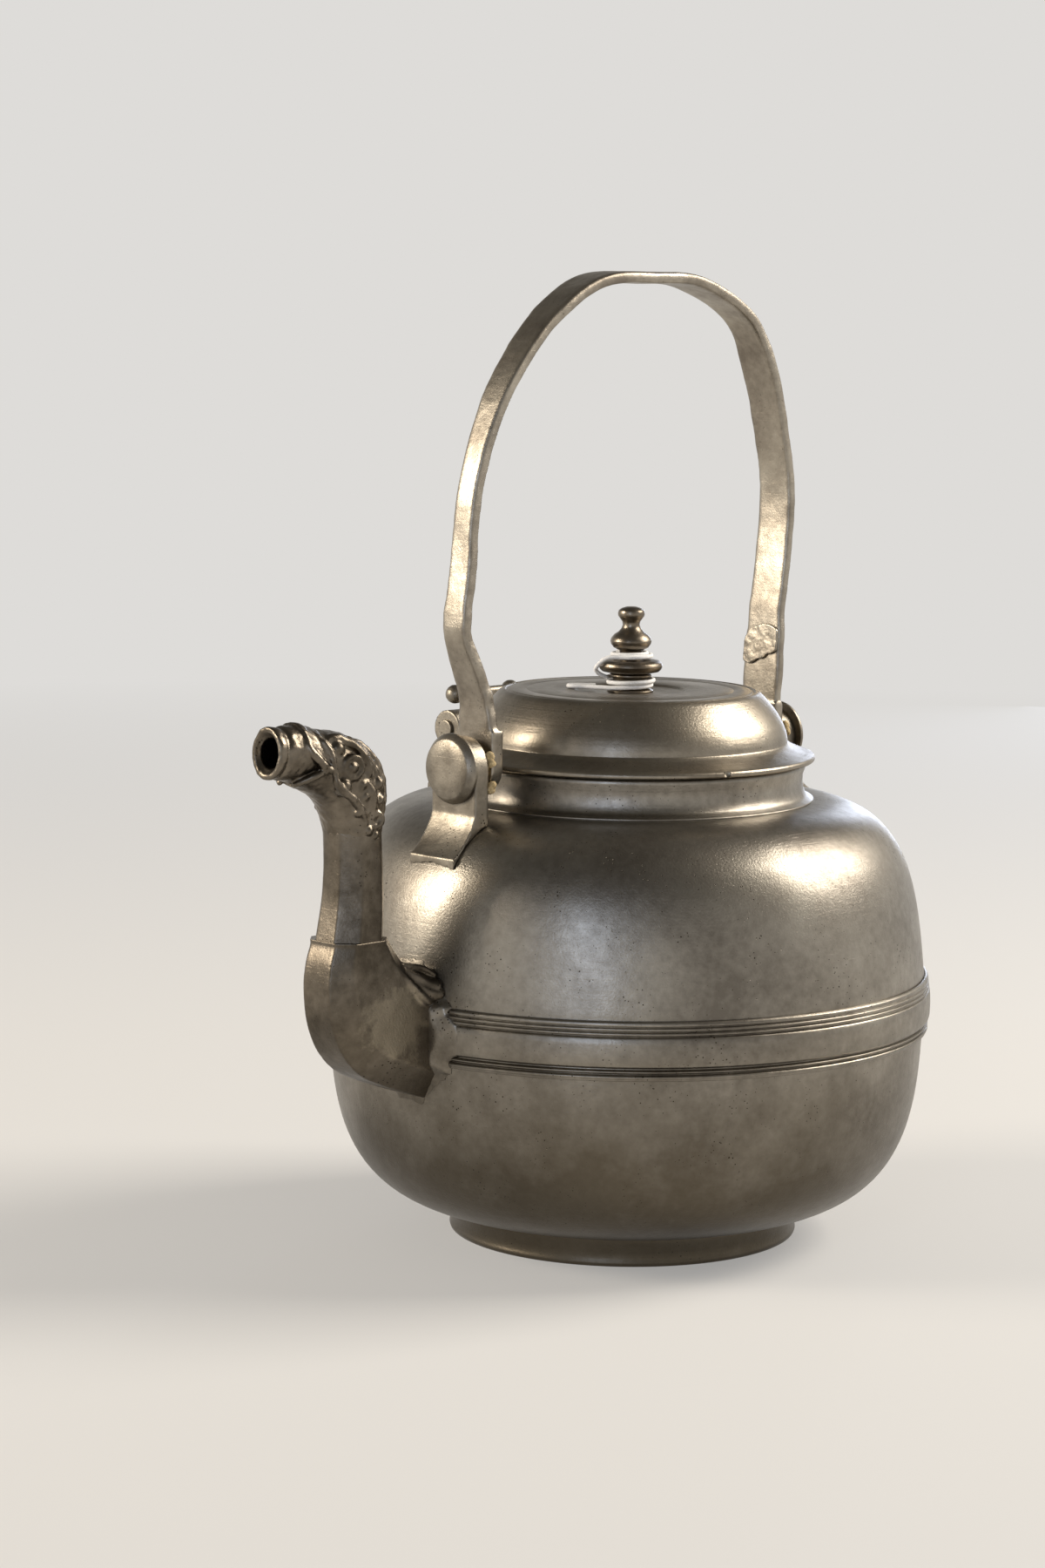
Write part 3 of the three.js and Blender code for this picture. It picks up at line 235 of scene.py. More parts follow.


# Old pewter, cast and turned: satin grey metal under a brown skin of tarnish in blots, with a painted
# shade that darkens it towards the bottom, rubbed lighter where hands reach, with fine pits, hair
# scratches and faint turning lines.
def old_pewter(name, dark, light, rough, rings=0.0, pits=1.0, patch=45, wear=0.5):
    """Clouds of tarnish between a dark and a light colour, so many to a metre as patch says, with
    amounts of rings, pits and wear. Scales count the cells of a pattern to a metre."""
    material, shader = new_material(name)
    place = add_node(material, "TexCoord").outputs["Object"]
    # clouds of 8 to 33 mm, mixed with spots of 2.4 mm
    cloud = add_node(material, "TexNoise",
                     {"Vector": place, "Scale": patch, "Detail": 4, "Roughness": 0.55})
    spots = add_node(material, "TexNoise", {"Vector": place, "Scale": 420, "Detail": 3, "Roughness": 0.6})
    mixed = add_node(material, "Math", {0: spots, 1: 0.4, 2: cloud}, operation="MULTIPLY_ADD")
    ramp = add_node(material, "MapRange", {0: mixed, 1: 0.5, 2: 0.98 - 0.1 * wear})
    fresh = add_node(material, "Mix", {0: ramp, 6: linear(dark), 7: linear(light)},
                     data_type="RGBA")
    # painted shade: the brown colour darkens the metal towards the bottom, over blots of tarnish of 26 mm
    height = add_node(material, "SeparateXYZ", {0: place})
    low = add_node(material, "MapRange", {0: height.outputs[2], 1: 0.09, 2: 0.015, 3: -0.4, 4: 0.6})
    skin_spots = add_node(material, "TexNoise",
                          {"Vector": place, "Scale": 38, "Detail": 5, "Roughness": 0.6})
    tarnish_and_painted_shade = add_node(material, "Math", {0: low, 1: skin_spots}, operation="ADD")
    share = add_node(material, "MapRange", {0: tarnish_and_painted_shade, 1: 0.3, 2: 1.0, 3: 0, 4: 0.85})
    colour = add_node(material, "Mix", {0: share, 6: fresh.outputs[2], 7: linear("#50483b")},
                      data_type="RGBA")
    # pits a third of a millimetre across, dark at the bottom, in cells of 1.25 mm
    pit = add_node(material, "TexVoronoi", {"Vector": place, "Scale": 800}, feature="F1")
    thin = add_node(material, "TexNoise", {"Vector": place, "Scale": 90, "Detail": 2})
    limit = add_node(material, "MapRange", {0: thin, 1: 0.45, 2: 0.75, 3: 0.05, 4: 0.2 * pits})
    deep = add_node(material, "Math", {0: pit.outputs["Distance"], 1: limit}, operation="LESS_THAN")
    pitted = add_node(material, "Mix", {0: deep, 6: colour.outputs[2], 7: linear("#3b352d")},
                      data_type="RGBA")
    material.node_tree.links.new(pitted.outputs[2], shader.inputs["Base Color"])
    # roughness follows the tarnish
    gloss = add_node(material, "MapRange", {0: mixed, 1: 0.5, 2: 0.95, 3: rough + 0.05, 4: rough - 0.04})
    material.node_tree.links.new(gloss.outputs[0], shader.inputs["Roughness"])
    shader.inputs["Metallic"].default_value = 1
    # relief: dents 38 mm apart, grain from 0.7 mm down to a tenth, the pits, hair scratches 0.45 mm
    # wide and 40 mm long at the most, and rings of 1.1 mm from the lathe
    dents = add_node(material, "TexNoise", {"Vector": place, "Scale": 26, "Detail": 2})
    bump = add_node(material, "Bump", {"Height": dents, "Strength": 0.35, "Distance": 0.0016})
    fine = add_node(material, "TexNoise", {"Vector": place, "Scale": 1500, "Detail": 3})
    bump = add_node(material, "Bump",
                    {"Height": fine, "Strength": 0.35, "Distance": 0.00014, "Normal": bump})
    bump = add_node(material, "Bump", {"Height": deep, "Strength": 0.5, "Distance": 0.0001, "Normal": bump},
                    invert=True)
    for angles, stretch in (((0.3, 0.2, 0.5), (25, 2200, 2200)), ((1.2, 0.7, 1.9), (2300, 30, 2300))):
        turned = add_node(material, "Mapping", {"Vector": place, "Rotation": angles, "Scale": stretch})
        hair = add_node(material, "TexNoise", {"Vector": turned, "Scale": 1, "Detail": 2})
        line = add_node(material, "MapRange", {0: hair, 1: 0.66, 2: 0.72})
        bump = add_node(material, "Bump",
                        {"Height": line, "Strength": 0.25, "Distance": 0.00005, "Normal": bump},
                        invert=True)
    if rings:
        split = add_node(material, "Mapping", {"Vector": place, "Location": (-AXIS, 0, 0)})
        apart = add_node(material, "SeparateXYZ", {0: split})
        flat = add_node(material, "CombineXYZ", {0: apart, 1: apart.outputs[1]})
        radius = add_node(material, "VectorMath", {0: flat}, operation="LENGTH")
        row = add_node(material, "CombineXYZ", {0: radius.outputs["Value"], 2: apart.outputs[2]})
        tool = add_node(material, "TexNoise", {"Vector": row, "Scale": 900, "Detail": 3})
        bump = add_node(material, "Bump",
                        {"Height": tool, "Strength": rings, "Distance": 0.00012, "Normal": bump})
    material.node_tree.links.new(bump.outputs[0], shader.inputs["Normal"])
    return material


def cut(piece, tool):
    """Cuts a tool piece out of a piece and takes the tool away."""
    change = piece.modifiers.new("cut", "BOOLEAN")
    change.operation = "DIFFERENCE"
    change.object = tool
    change.solver = "EXACT"
    bpy.ops.object.select_all(action="DESELECT")
    piece.select_set(True)
    bpy.context.view_layer.objects.active = piece
    bpy.ops.object.modifier_apply(modifier=change.name)
    bpy.data.objects.remove(tool)
    bpy.ops.object.shade_smooth_by_angle(angle=CREASE)


WALL = 2.2  # of the body, the lid and the spout's lower part
BODY_RADIUS, SEAM_HEIGHT = 83.1, 66
FLOW_RADIUS, ROOT_HEIGHT = 7.5, 66.2  # the hole into the spout, and the middle of the spout's root


def flow_hole(piece):
    """Drills the round hole that lets the tea into the spout."""
    bpy.ops.mesh.primitive_cylinder_add(
        vertices=48, radius=FLOW_RADIUS * MM, depth=24 * MM, rotation=(0, math.pi / 2, 0),
        location=(AXIS - BODY_RADIUS * MM, 0, ROOT_HEIGHT * MM))
    cut(piece, bpy.context.object)


body_pewter = old_pewter("old pewter, turned", "#716b62", "#a09a8f", 0.35, rings=0.25, patch=30)
lower_curve = bend((49.6, 8), (31.73, 4.15), (BODY_RADIUS, 62), (-1.13, -22.67), 30)
lower_outline = [(0, 8)] + lower_curve + [(BODY_RADIUS, SEAM_HEIGHT)]
body_lower = turn("body_lower_fine", lower_outline + inside(lower_outline, WALL), 192)
soften(body_lower)
flow_hole(body_lower)
finish_piece(body_lower, body_pewter, "pot", "pewter", "body_lower")

# Body, upper half: the same metal, spun from the shoulder's outline, with its flat ledge under the
# collar. The two halves are soldered under the belt.
upper_curve = bend((BODY_RADIUS, 74), (-2.39, 25.39), (51.4, 122.1), (26.6, -0.43), 30)
upper_outline = [(BODY_RADIUS, SEAM_HEIGHT)] + upper_curve + [(45.8, 122.1)]
upper_wall = upper_outline + inside(upper_outline, WALL) + [upper_outline[0]]
body_upper = turn("body_upper_fine", upper_wall, 192)
soften(body_upper)
flow_hole(body_upper)
finish_piece(body_upper, body_pewter, "pot", "pewter", "body_upper")

# Belt: a turned band over the seam, with three fine grooves near its upper edge, a deep one low
# down and a bead below that. It stops on both sides of the spout, where solder covers its ends.
belt_outline = [(83.2, 58.4), (83.7, 58.4), (84.0, 58.6), (84.0, 58.9), (84.3, 59.2), (84.4, 59.6),
                (84.2, 59.9), (83.6, 60.1), (83.55, 60.3), (84.0, 60.5), (84.4, 60.8), (84.35, 61.1),
                (83.5, 61.4), (83.4, 61.7), (84.2, 62.0), (84.7, 62.4), (84.92, 63.5), (85, 66),
                (84.95, 68), (84.85, 69.6), (84.6, 70.0), (84.1, 70.2), (84.05, 70.4), (84.5, 70.6),
                (84.62, 70.9), (84.5, 71.2), (84.0, 71.4), (83.95, 71.6), (84.4, 71.8), (84.5, 72.1),
                (84.4, 72.4), (83.95, 72.6), (83.9, 72.8), (84.3, 73), (84.35, 73.3), (84.2, 73.8),
                (83.7, 74.2), (83.2, 74.2), (83.2, 58.4)]
BELT_MIDDLE, BELT_END = 84, 15.6  # its radius, and how far its ends stop from the spout's middle
belt_gap = 2 * math.asin(BELT_END / BELT_MIDDLE)
belt = turn("belly_belt_fine", belt_outline, 200, math.tau - belt_gap)
# the band is turned until its gap lies under the spout
middle = sum((v.co for v in belt.data.vertices), Vector()) / len(belt.data.vertices)
middle -= Vector((AXIS, 0, 0))
bpy.ops.object.mode_set(mode="EDIT")
bpy.ops.mesh.select_all(action="SELECT")
bpy.ops.transform.rotate(value=math.atan2(middle.y, middle.x), orient_axis="Z",
                         center_override=(AXIS, 0, 0))
bpy.ops.object.mode_set(mode="OBJECT")
soften(belt, 0.1)
finish_piece(belt, body_pewter, "pot", "pewter", "belly_belt")

# Foot ring: a turned hoop of the same pewter, flared towards the body, with a small lip at its
# foot. It is soldered under the base.
foot_outline = [(45.1, 0), (48.3, 0), (48.5, 0.2), (48.75, 0.9), (48.6, 1.6), (48.4, 2.2), (48.55, 4),
                (48.9, 6), (49.5, 8), (46.1, 8), (45.1, 0)]
foot_ring = turn("foot_ring_fine", foot_outline, 176)
soften(foot_ring, 0.2)
finish_piece(foot_ring, body_pewter, "pot", "pewter", "foot_ring")

# Collar: the concave neck ring, turned from the same pewter and soldered on the shoulder, with a
# rolled rim under the lid's flange.
collar_outline = [(45.8, 122.1), (51.4, 122.1), (51.3, 122.5), (49.6, 123.3), (49.0, 124.1), (48.5, 125.5),
                  (48.2, 127.5), (48.3, 129.5), (48.9, 131.2), (48.95, 131.8), (48.7, 132.4), (48.1, 132.7),
                  (46.2, 132.7), (46.2, 125.1), (45.8, 122.1)]
collar = turn("neck_collar_fine", collar_outline, 176)
soften(collar, 0.15)
finish_piece(collar, body_pewter, "pot", "pewter", "neck_collar")

# Lid: a turned cover with a wide flange, a bulging wall, a flat top with fine rings, and a shallow
# dish round the knob. A small nick is knocked into the flange.
# turned like the body, with clearer rings and a little browner
lid_pewter = old_pewter("old pewter, turned lid", "#746c60", "#9c9486", 0.36, rings=0.5)
lid_flange = [(51.1, 133), (51.5, 133.4), (51.5, 134.1), (51.2, 134.6), (49, 135.3), (47, 136.1),
              (45.2, 137), (44.3, 137.6)]
lid_wall = bend((43.9, 138), (-0.1, 5), (36.4, 151.2), (3, -3), 16)
lid_top = [(35.6, 151.7), (35.1, 151.9), (34.8, 151.9), (34.4, 151.5), (34.0, 151.5), (33.6, 151.9),
           (29, 151.9), (28.8, 151.8), (28.6, 151.9), (15.6, 151.9), (15.2, 151.7), (14.6, 151.4),
           (14, LID_DISH), (2.8, LID_DISH), (2.8, 149.8), (33.5, 149.8)]
lid_under = inside(lid_wall, WALL)[1:] + [(41.7, 133), lid_flange[0]]
lid_cover = turn("lid_cover_fine", lid_flange + lid_wall + lid_top + lid_under, 192)
soften(lid_cover, 0.15)
nick, nick_out, nick_height, nick_radius = math.radians(-105.4), 52, 134.3, 1.4
bpy.ops.mesh.primitive_ico_sphere_add(subdivisions=3, radius=nick_radius * MM, location=(
    AXIS + nick_out * MM * math.cos(nick), nick_out * MM * math.sin(nick), nick_height * MM))
cut(lid_cover, bpy.context.object)
finish_piece(lid_cover, lid_pewter, "lid", "pewter", "lid_cover")

# Guide ring: a thin hoop under the lid that keeps it in its place inside the collar. Its lower
# corner is bevelled, so that the lid finds its way in.
skirt_outline = [(43.45, 126.2), (44.75, 126.2), (45.25, 126.8), (45.25, 133), (43.45, 133), (43.45, 126.2)]
skirt = turn("lid_skirt_fine", skirt_outline, 160)
soften(skirt, 0.15)
finish_piece(skirt, lid_pewter, "lid", "pewter", "lid_skirt")

# Knob: turned from one piece as a stack of foot, stem, ring, disc, stem, bead, waist and finial.
# Its shank goes through the lid and is peened over a washer.
# polished by fingers: the smoothest metal of the pot, browner than the body
knob_pewter = old_pewter("old pewter, handled knob", "#665d51", "#958b7c", 0.3, rings=0.2, wear=0.9)
knob_outline = [(0, 147.8), (3.3, 147.8), (3.8, 148.6), (2.5, 148.6), (2.5, 151.3), (6.3, 151.3),
                (6.4, 151.6), (6.0, 151.9), (5.2, 152.2), (4.9, 152.5), (4.9, 154.9), (5.2, 155.2),
                (5.8, 155.5), (5.9, 155.8), (5.8, 156.1), (5.1, 156.4), (6.4, 156.6), (7.9, 156.9),
                (8.6, 157.6), (8.9, 158.5), (8.6, 159.3), (7.8, 159.9), (4.8, 160.3), (3.4, 160.5),
                (3.1, 160.9), (3.1, 162.6), (3.6, 162.9), (4.8, 163.5), (5.55, 164.5), (5.75, 165.3),
                (5.5, 166.1), (4.7, 167.1), (3.5, 167.9), (2.7, 168.8), (2.35, 169.8), (2.5, 170.7),
                (3.1, 171.5), (3.65, 172.3), (3.75, 173), (3.5, 173.8), (2.7, 174.4), (1.4, 174.8),
                (0, 174.9)]
lid_knob = turn("lid_knob_fine", knob_outline, 96)
soften(lid_knob, 0.1)
finish_piece(lid_knob, knob_pewter, "lid", "pewter", "lid_knob")


# Ears: thick cast plates with round tops that carry the bail, with strap feet soldered on the
# shoulder. Their faces are filed and a little beaten.
def piece_of(mesh):
    """A new piece with a mesh and its name, open for edits and selected all over."""
    bpy.ops.object.select_all(action="DESELECT")
    bpy.ops.mesh.primitive_cube_add(size=MM)
    piece = bpy.context.object
    piece.data = mesh
    piece.name = mesh.name
    bpy.ops.object.mode_set(mode="EDIT")
    bpy.ops.mesh.select_all(action="SELECT")
    return piece


def as_cast(node, grain, rounds, dent=0.0):
    """A copy of a CAD node, merged, fused as if cast, and worn smooth."""
    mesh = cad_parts[node].data.copy()
    mesh.name = node + "_fine"
    piece = piece_of(mesh)
    bpy.ops.mesh.remove_doubles(threshold=SAME_SPOT)
    bpy.ops.object.mode_set(mode="OBJECT")
    worn(piece, grain, rounds, dent)
    return piece


def worn(piece, grain, rounds, dent=0.0, dent_size=0.006):
    """Fuses a piece into one skin with a voxel of grain, smooths it and dents it by up to dent."""
    remesh = piece.modifiers.new("cast", "REMESH")
    remesh.mode = "VOXEL"
    remesh.voxel_size = grain * MM
    relax = piece.modifiers.new("worn", "SMOOTH")
    relax.factor = 0.5
    relax.iterations = rounds
    names = [remesh.name, relax.name]
    if dent:
        cloud = bpy.data.textures.new(piece.name + " dents", "CLOUDS")
        cloud.noise_scale = dent_size
        hammer = piece.modifiers.new("dented", "DISPLACE")
        hammer.texture = cloud
        hammer.texture_coords = "LOCAL"
        hammer.mid_level = 0.5
        hammer.strength = 2 * dent * MM
        names.append(hammer.name)
    bpy.context.view_layer.objects.active = piece
    piece.select_set(True)
    for name in names:
        bpy.ops.object.modifier_apply(modifier=name)
    bpy.ops.object.shade_smooth_by_angle(angle=math.radians(50))


# filed and beaten, so rougher and more pitted, in small clouds
ear_pewter = old_pewter("old pewter, filed and beaten", "#6d665b", "#a29a8c", 0.4, pits=1.3, patch=90)
for node in ("front_ear", "rear_ear"):
    ear = as_cast(node, 0.4, 3, 0.1)
    finish_piece(ear, ear_pewter, "pot", "pewter", node)

# Pins: cast rivets with broad bevelled heads outside the ears, peened inside the bail's ends. They
# are of the same metal as the ears, and the bail turns on them.
PIVOT = 135  # height of the pins' axis
front_pin_outline = [(0, -54.7), (3.8, -54.7), (4.2, -55.4), (3, -55.4), (3, -67.2), (9.4, -67.2),
                     (9.5, -67.4), (9.45, -68.1), (8.2, -69.7), (7.7, -70), (4, -70.1), (0, -70.1)]
rear_pin_outline = [(0, 52), (3.8, 52), (4.2, 52.7), (3, 52.7), (3, 61.2), (9.4, 61.2), (9.5, 61.4),
                    (9.45, 62.1), (8.2, 63.6), (7.7, 64), (4, 64.1), (0, 64.1)]
for node, outline in (("front_pin", front_pin_outline), ("rear_pin", rear_pin_outline)):
    pin = turn(node + "_fine", outline, 72, pivot=PIVOT)
    soften(pin, 0.2, 3)
    finish_piece(pin, ear_pewter, "pot", "pewter", node)


# Packing: rings of vegetable fibre that take up the play between the bail's ends and the ears, with
# a few tufts pushed out at the edge.
def join_into(piece):
    """Joins what is selected into a piece."""
    piece.select_set(True)
    bpy.context.view_layer.objects.active = piece
    bpy.ops.object.join()


# straw coloured, with darker strands of 0.7 mm and no gloss
fibre, shader = new_material("dry vegetable fibre")
place = add_node(fibre, "TexCoord").outputs["Object"]
strand = add_node(fibre, "TexNoise", {"Vector": place, "Scale": 1400, "Detail": 4})
shade = add_node(fibre, "Mix", {0: strand, 6: linear("#8d7447"), 7: linear("#d8c49a")},
                 data_type="RGBA")
relief = add_node(fibre, "Bump", {"Height": strand, "Strength": 0.8, "Distance": 0.0004})
fibre.node_tree.links.new(shade.outputs[2], shader.inputs["Base Color"])
fibre.node_tree.links.new(relief.outputs[0], shader.inputs["Normal"])
shader.inputs["Roughness"].default_value = 0.95
for node in ("front_packing", "rear_packing"):
    packing = as_cast(node, 0.25, 2)
    low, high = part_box(node)
    middle = (low[0] + high[0]) / 2
    for side, up, size in ((-7.4, 3.4, 1.3), (-8.2, 1.6, 1.1), (-7.6, -5.2, 1.5), (-8.6, -4, 1.1)):
        bpy.ops.mesh.primitive_ico_sphere_add(subdivisions=3, radius=size * MM, location=(
            middle, side * MM, PIVOT * MM + up * MM))
        join_into(packing)
    worn(packing, 0.22, 1, 0.35, 0.0012)
    finish_piece(packing, fibre, "pot", "fibre", node)


# Bail: a flat strap of pewter, hammered to shape, so that its edges waver and its bends are a
# little angular. Its ends are flat tongues on the pins.
def spline_rows(rows, steps):
    """Rows of numbers, with more rows laid between them on a smooth curve."""
    out = []
    count = len(rows) - 1
    for i in range(count):
        p0, p1, p2, p3 = (rows[max(min(k, count), 0)] for k in (i - 1, i, i + 1, i + 2))
        for step in range(steps):
            t = step / steps
            out.append([0.5 * (2 * b + (c - a) * t + (2 * a - 5 * b + 4 * c - d) * t * t
                               + (3 * b - a - 3 * c + d) * t ** 3) for a, b, c, d in zip(p0, p1, p2, p3)])
    out.append(list(rows[-1]))
    return out


def skin(name, rings, looped=False):
    """A mesh piece over rings of points, closed by flat ends or, looped, by its first ring."""
    sides = len(rings[0])
    points = [tuple(p) for ring in rings for p in ring]
    rows = len(rings)
    faces = []
    for row in range(rows if looped else rows - 1):
        low, high = row * sides, ((row + 1) % rows) * sides
        for k in range(sides):
            nxt = (k + 1) % sides
            faces.append((low + k, low + nxt, high + nxt, high + k))
    if not looped:
        faces.append(tuple(range(sides))[::-1])
        faces.append(tuple(range((rows - 1) * sides, rows * sides)))
    mesh = bpy.data.meshes.new(name)
    mesh.from_pydata(points, [], faces)
    piece = piece_of(mesh)
    bpy.ops.mesh.normals_make_consistent(inside=False)
    bpy.ops.object.mode_set(mode="OBJECT")
    return piece


FRONT_MIDDLE, REAR_MIDDLE = 57.65, 54.4  # how far the two ends' middles lie from the pot's axis
STRAP_THICKNESS, STRAP_THINNING = 3.6, 0.7  # at the front end, and lost on the way to the rear end
TONGUE_RADIUS, TONGUE_RISE = 7.1, 10
# rows of (outwards, upwards, width) for the legs, and (X, upwards, width) for the crown
front_leg = [(0.3, 3, 12.8), (0.7, 11, 12.5), (1.7, 19, 10.9), (5.1, 27, 10.1), (8.4, 35, 8.5),
             (8.6, 41, 8.6), (6.8, 53, 8), (4.9, 71, 7.4), (0.3, 87, 7.7), (-8, 103, 9.2),
             (-22.5, 119, 10.6)]
crown = [(-17.5, 128.9, 12), (3, 130, 12.4), (22, 128.7, 12)]
rear_leg = [(-11.9, 119, 11), (-2.6, 103, 12.3), (2, 87, 11.9), (4.7, 74, 11.8), (4.9, 62, 12.2),
            (3.2, 47, 12.3), (1.6, 35, 12.4), (0.9, 24, 13.6), (0.2, 12, 13.5), (0, 3, 13.2)]
strap_rows = [(-FRONT_MIDDLE - out, up, width) for out, up, width in front_leg] + crown + [
    (REAR_MIDDLE + out, up, width) for out, up, width in rear_leg]
strap_rows = [row + (STRAP_THICKNESS - STRAP_THINNING * i / (len(strap_rows) - 1),)
              for i, row in enumerate(strap_rows)]
strap_line = spline_rows(strap_rows, 9)
# corners of the strap's section, as shares of its thickness and width
strap_section = [(0.5, 0.38), (0.5, -0.38), (0.46, -0.46), (0.3, -0.5), (-0.3, -0.5), (-0.46, -0.46),
                 (-0.5, -0.38), (-0.5, 0.38), (-0.46, 0.46), (-0.3, 0.5), (0.3, 0.5), (0.46, 0.46)]


def strap_ring(i):
    """The strap's section at one row of its line, with a little wander and waver."""
    x, z, width, depth = strap_line[i]
    before, after = strap_line[max(i - 1, 0)], strap_line[min(i + 1, len(strap_line) - 1)]
    along = Vector((after[0] - before[0], 0, after[1] - before[1])).normalized()
    outward = Vector((-along.z, 0, along.x))
    middle = Vector((x, 0, PIVOT + z))
    wander = 0.25 * noise.noise(Vector((i * 0.21, 3.1, 0)))
    waver = 1 + 0.035 * noise.noise(Vector((i * 0.3, 7.7, 1)))
    ring = []
    for out, side in strap_section:
        point = middle + outward * out * depth + Vector((0, side * width * waver + wander, 0))
        ring.append(Vector((AXIS + point.x * MM, point.y * MM, point.z * MM)))
    return ring


# hammered and rubbed by hands: the lightest metal, with few pits
strap_pewter = old_pewter("old pewter, hammered strap", "#7a7267", "#aaa294", 0.38, pits=0.8, patch=50,
                          wear=0.8)
strap = skin("bail_strap_fine", [strap_ring(i) for i in range(len(strap_line))])
for centre, depth in ((-FRONT_MIDDLE, 4.3), (REAR_MIDDLE, 3.2)):
    bpy.ops.mesh.primitive_cylinder_add(
        vertices=64, radius=TONGUE_RADIUS * MM, depth=depth * MM, rotation=(0, math.pi / 2, 0),
        location=(AXIS + centre * MM, 0, PIVOT * MM))
    tongue = bpy.context.object
    bpy.ops.mesh.primitive_cube_add(
        size=1, location=(AXIS + centre * MM, 0, (PIVOT + TONGUE_RISE / 2) * MM),
        scale=(depth * MM, 2 * TONGUE_RADIUS * MM, TONGUE_RISE * MM))
    tongue.select_set(True)
    join_into(strap)
worn(strap, 0.45, 6, 0.16, 0.008)
finish_piece(strap, strap_pewter, "bail", "strap_metal", "bail_strap")

# Lapped repair: a thin patch of pewter soldered on the inner face of the rear leg, with a ragged
# lower edge that climbs towards the front.
patch_edge = [(6.2, 21.4), (5.2, 20.7), (3.4, 20.6), (1.8, 21.3), (0.6, 22), (-1.2, 22.3), (-2.6, 23.5),
              (-4.2, 23.9), (-5.9, 24.9), (-6.2, 27), (-6.1, 30.4), (-4.8, 31.8), (-1.5, 32.3), (1.5, 31.7),
              (4.2, 30.2), (5.6, 28.4), (6.2, 26), (6.3, 23.2)]


def patch_face(depth):
    """The patch's edge, a depth out from the inner face of the rear leg."""
    ring = []
    for side, up in spline_rows(patch_edge + patch_edge[:1], 4)[:-1]:
        leg = min((row for row in strap_line if row[0] > 0), key=lambda row: abs(row[1] - up))
        ring.append(Vector((AXIS + (leg[0] - leg[3] / 2 - depth) * MM, side * MM, (PIVOT + up) * MM)))
    return ring


patch = skin("bail_patch_fine", [patch_face(depth) for depth in (-0.2, 0.15, 0.5, 0.75)])
worn(patch, 0.2, 3, 0.18, 0.003)
finish_piece(patch, strap_pewter, "bail", "strap_metal", "bail_patch")

# Hinge: a cast bracket on the shoulder behind the lid, with two knuckles, a pin through them, and
# the lid's own knuckle with its tab and a thumbpiece of two balls. The knob's washer is like them.
for node, body, grain in (("hinge_bracket", "pot", 0.35), ("hinge_pin", "pot", 0.2),
                          ("hinge_tab", "lid", 0.3), ("thumbpiece", "lid", 0.3),
                          ("knob_washer", "lid", 0.3)):
    piece = as_cast(node, grain, 3, 0.05 if grain > 0.2 else 0)
    finish_piece(piece, ear_pewter, body, "pewter", node)

# Spout seat: a wash of solder round the spout's root, as thick as the belt whose ends it covers,
# and feathered out over the body above and below.
# solder: a little darker than the body, in small clouds and full of pits
solder = old_pewter("dull solder", "#6a645b", "#979084", 0.34, pits=1.4, patch=120)
body_line = lower_curve + upper_curve
ROOT_WIDE, ROOT_TALL = 11.4, 18.4  # half the width and half the height of the spout's root
SEAT_SIDES, SEAT_ROWS = 192, 19
SEAT_EDGE = 0.08  # thickness where the wash runs out


def body_radius(height):
    """Radius of the body's outside at a height, in millimetres."""
    for (r0, h0), (r1, h1) in zip(body_line, body_line[1:]):
        if height <= h1:
            return r0 + (r1 - r0) * (height - h0) / (h1 - h0)
    return body_line[-1][0]


def seat_spot(angle, reach, lift):
    """A point over the body, reach out from the spout's root and lift above the body."""
    across, upward = abs(math.cos(angle)) / ROOT_WIDE, abs(math.sin(angle)) / ROOT_TALL
    far = 1 / max(across, upward, (across + upward) * 0.72) + reach
    y, z = far * math.cos(angle), ROOT_HEIGHT + far * math.sin(angle)
    radius = body_radius(z) + lift
    return Vector((AXIS - math.sqrt(radius * radius - y * y) * MM, y * MM, z * MM))


def ease(low, high, value):
    """0 at low, 1 at high, and a smooth change between them."""
    share = min(1, max(0, (value - low) / (high - low)))
    return share * share * (3 - 2 * share)


def seat_reach(angle, share):
    """How far the wash reaches at a share of its width: furthest along the belt's plain band."""
    up = ROOT_TALL * math.sin(angle)
    return -3 + share * (8.3 - 4.8 * math.sin(angle) ** 2 + 3.6 * ease(7.6, 2.4, abs(up)))


def seat_lift(angle, share, far):
    """How high the wash stands over the body, far millimetres out from the root's middle."""
    # it is as thick as the belt within 7.6 mm of the belt's middle, and thins out above and below
    height, beside = far * math.sin(angle), ease(4, 10, abs(far * math.cos(angle)))
    on_belt = ease(13.5, 7.6, height) * ease(-12, -7.6, height)
    corner_fill = (0.9 + 1.2 * ease(8, 14, height)) * beside
    fillet = corner_fill * max(0, 1 - 1.9 * max(0, share - 0.36)) ** 2
    off_belt = (1 - on_belt) * (0.25 + 0.9 * beside) * (1 - share) ** 0.7
    wash = on_belt * (2.05 - 0.4 * share ** 3) + off_belt
    return SEAT_EDGE + (wash + fillet) * min(1, 8 * (1 - share))


seat_rings = []
for step in range(SEAT_ROWS):
    share = step / (SEAT_ROWS - 1)
    ring = []
    for k in range(SEAT_SIDES):
        angle = k / SEAT_SIDES * math.tau
        waver = noise.noise(Vector((3 * math.cos(angle), 3 * math.sin(angle), 2.2)))
        ragged = noise.noise(Vector((14 * math.cos(angle), 14 * math.sin(angle), 5.1)))
        reach = seat_reach(angle, share) + share * (waver + 0.5 * ragged)
        far = 1 / max(abs(math.cos(angle)) / ROOT_WIDE, abs(math.sin(angle)) / ROOT_TALL) + reach
        ring.append(seat_spot(angle, reach, seat_lift(angle, share, far) + 0.08 * waver))
    seat_rings.append(ring)
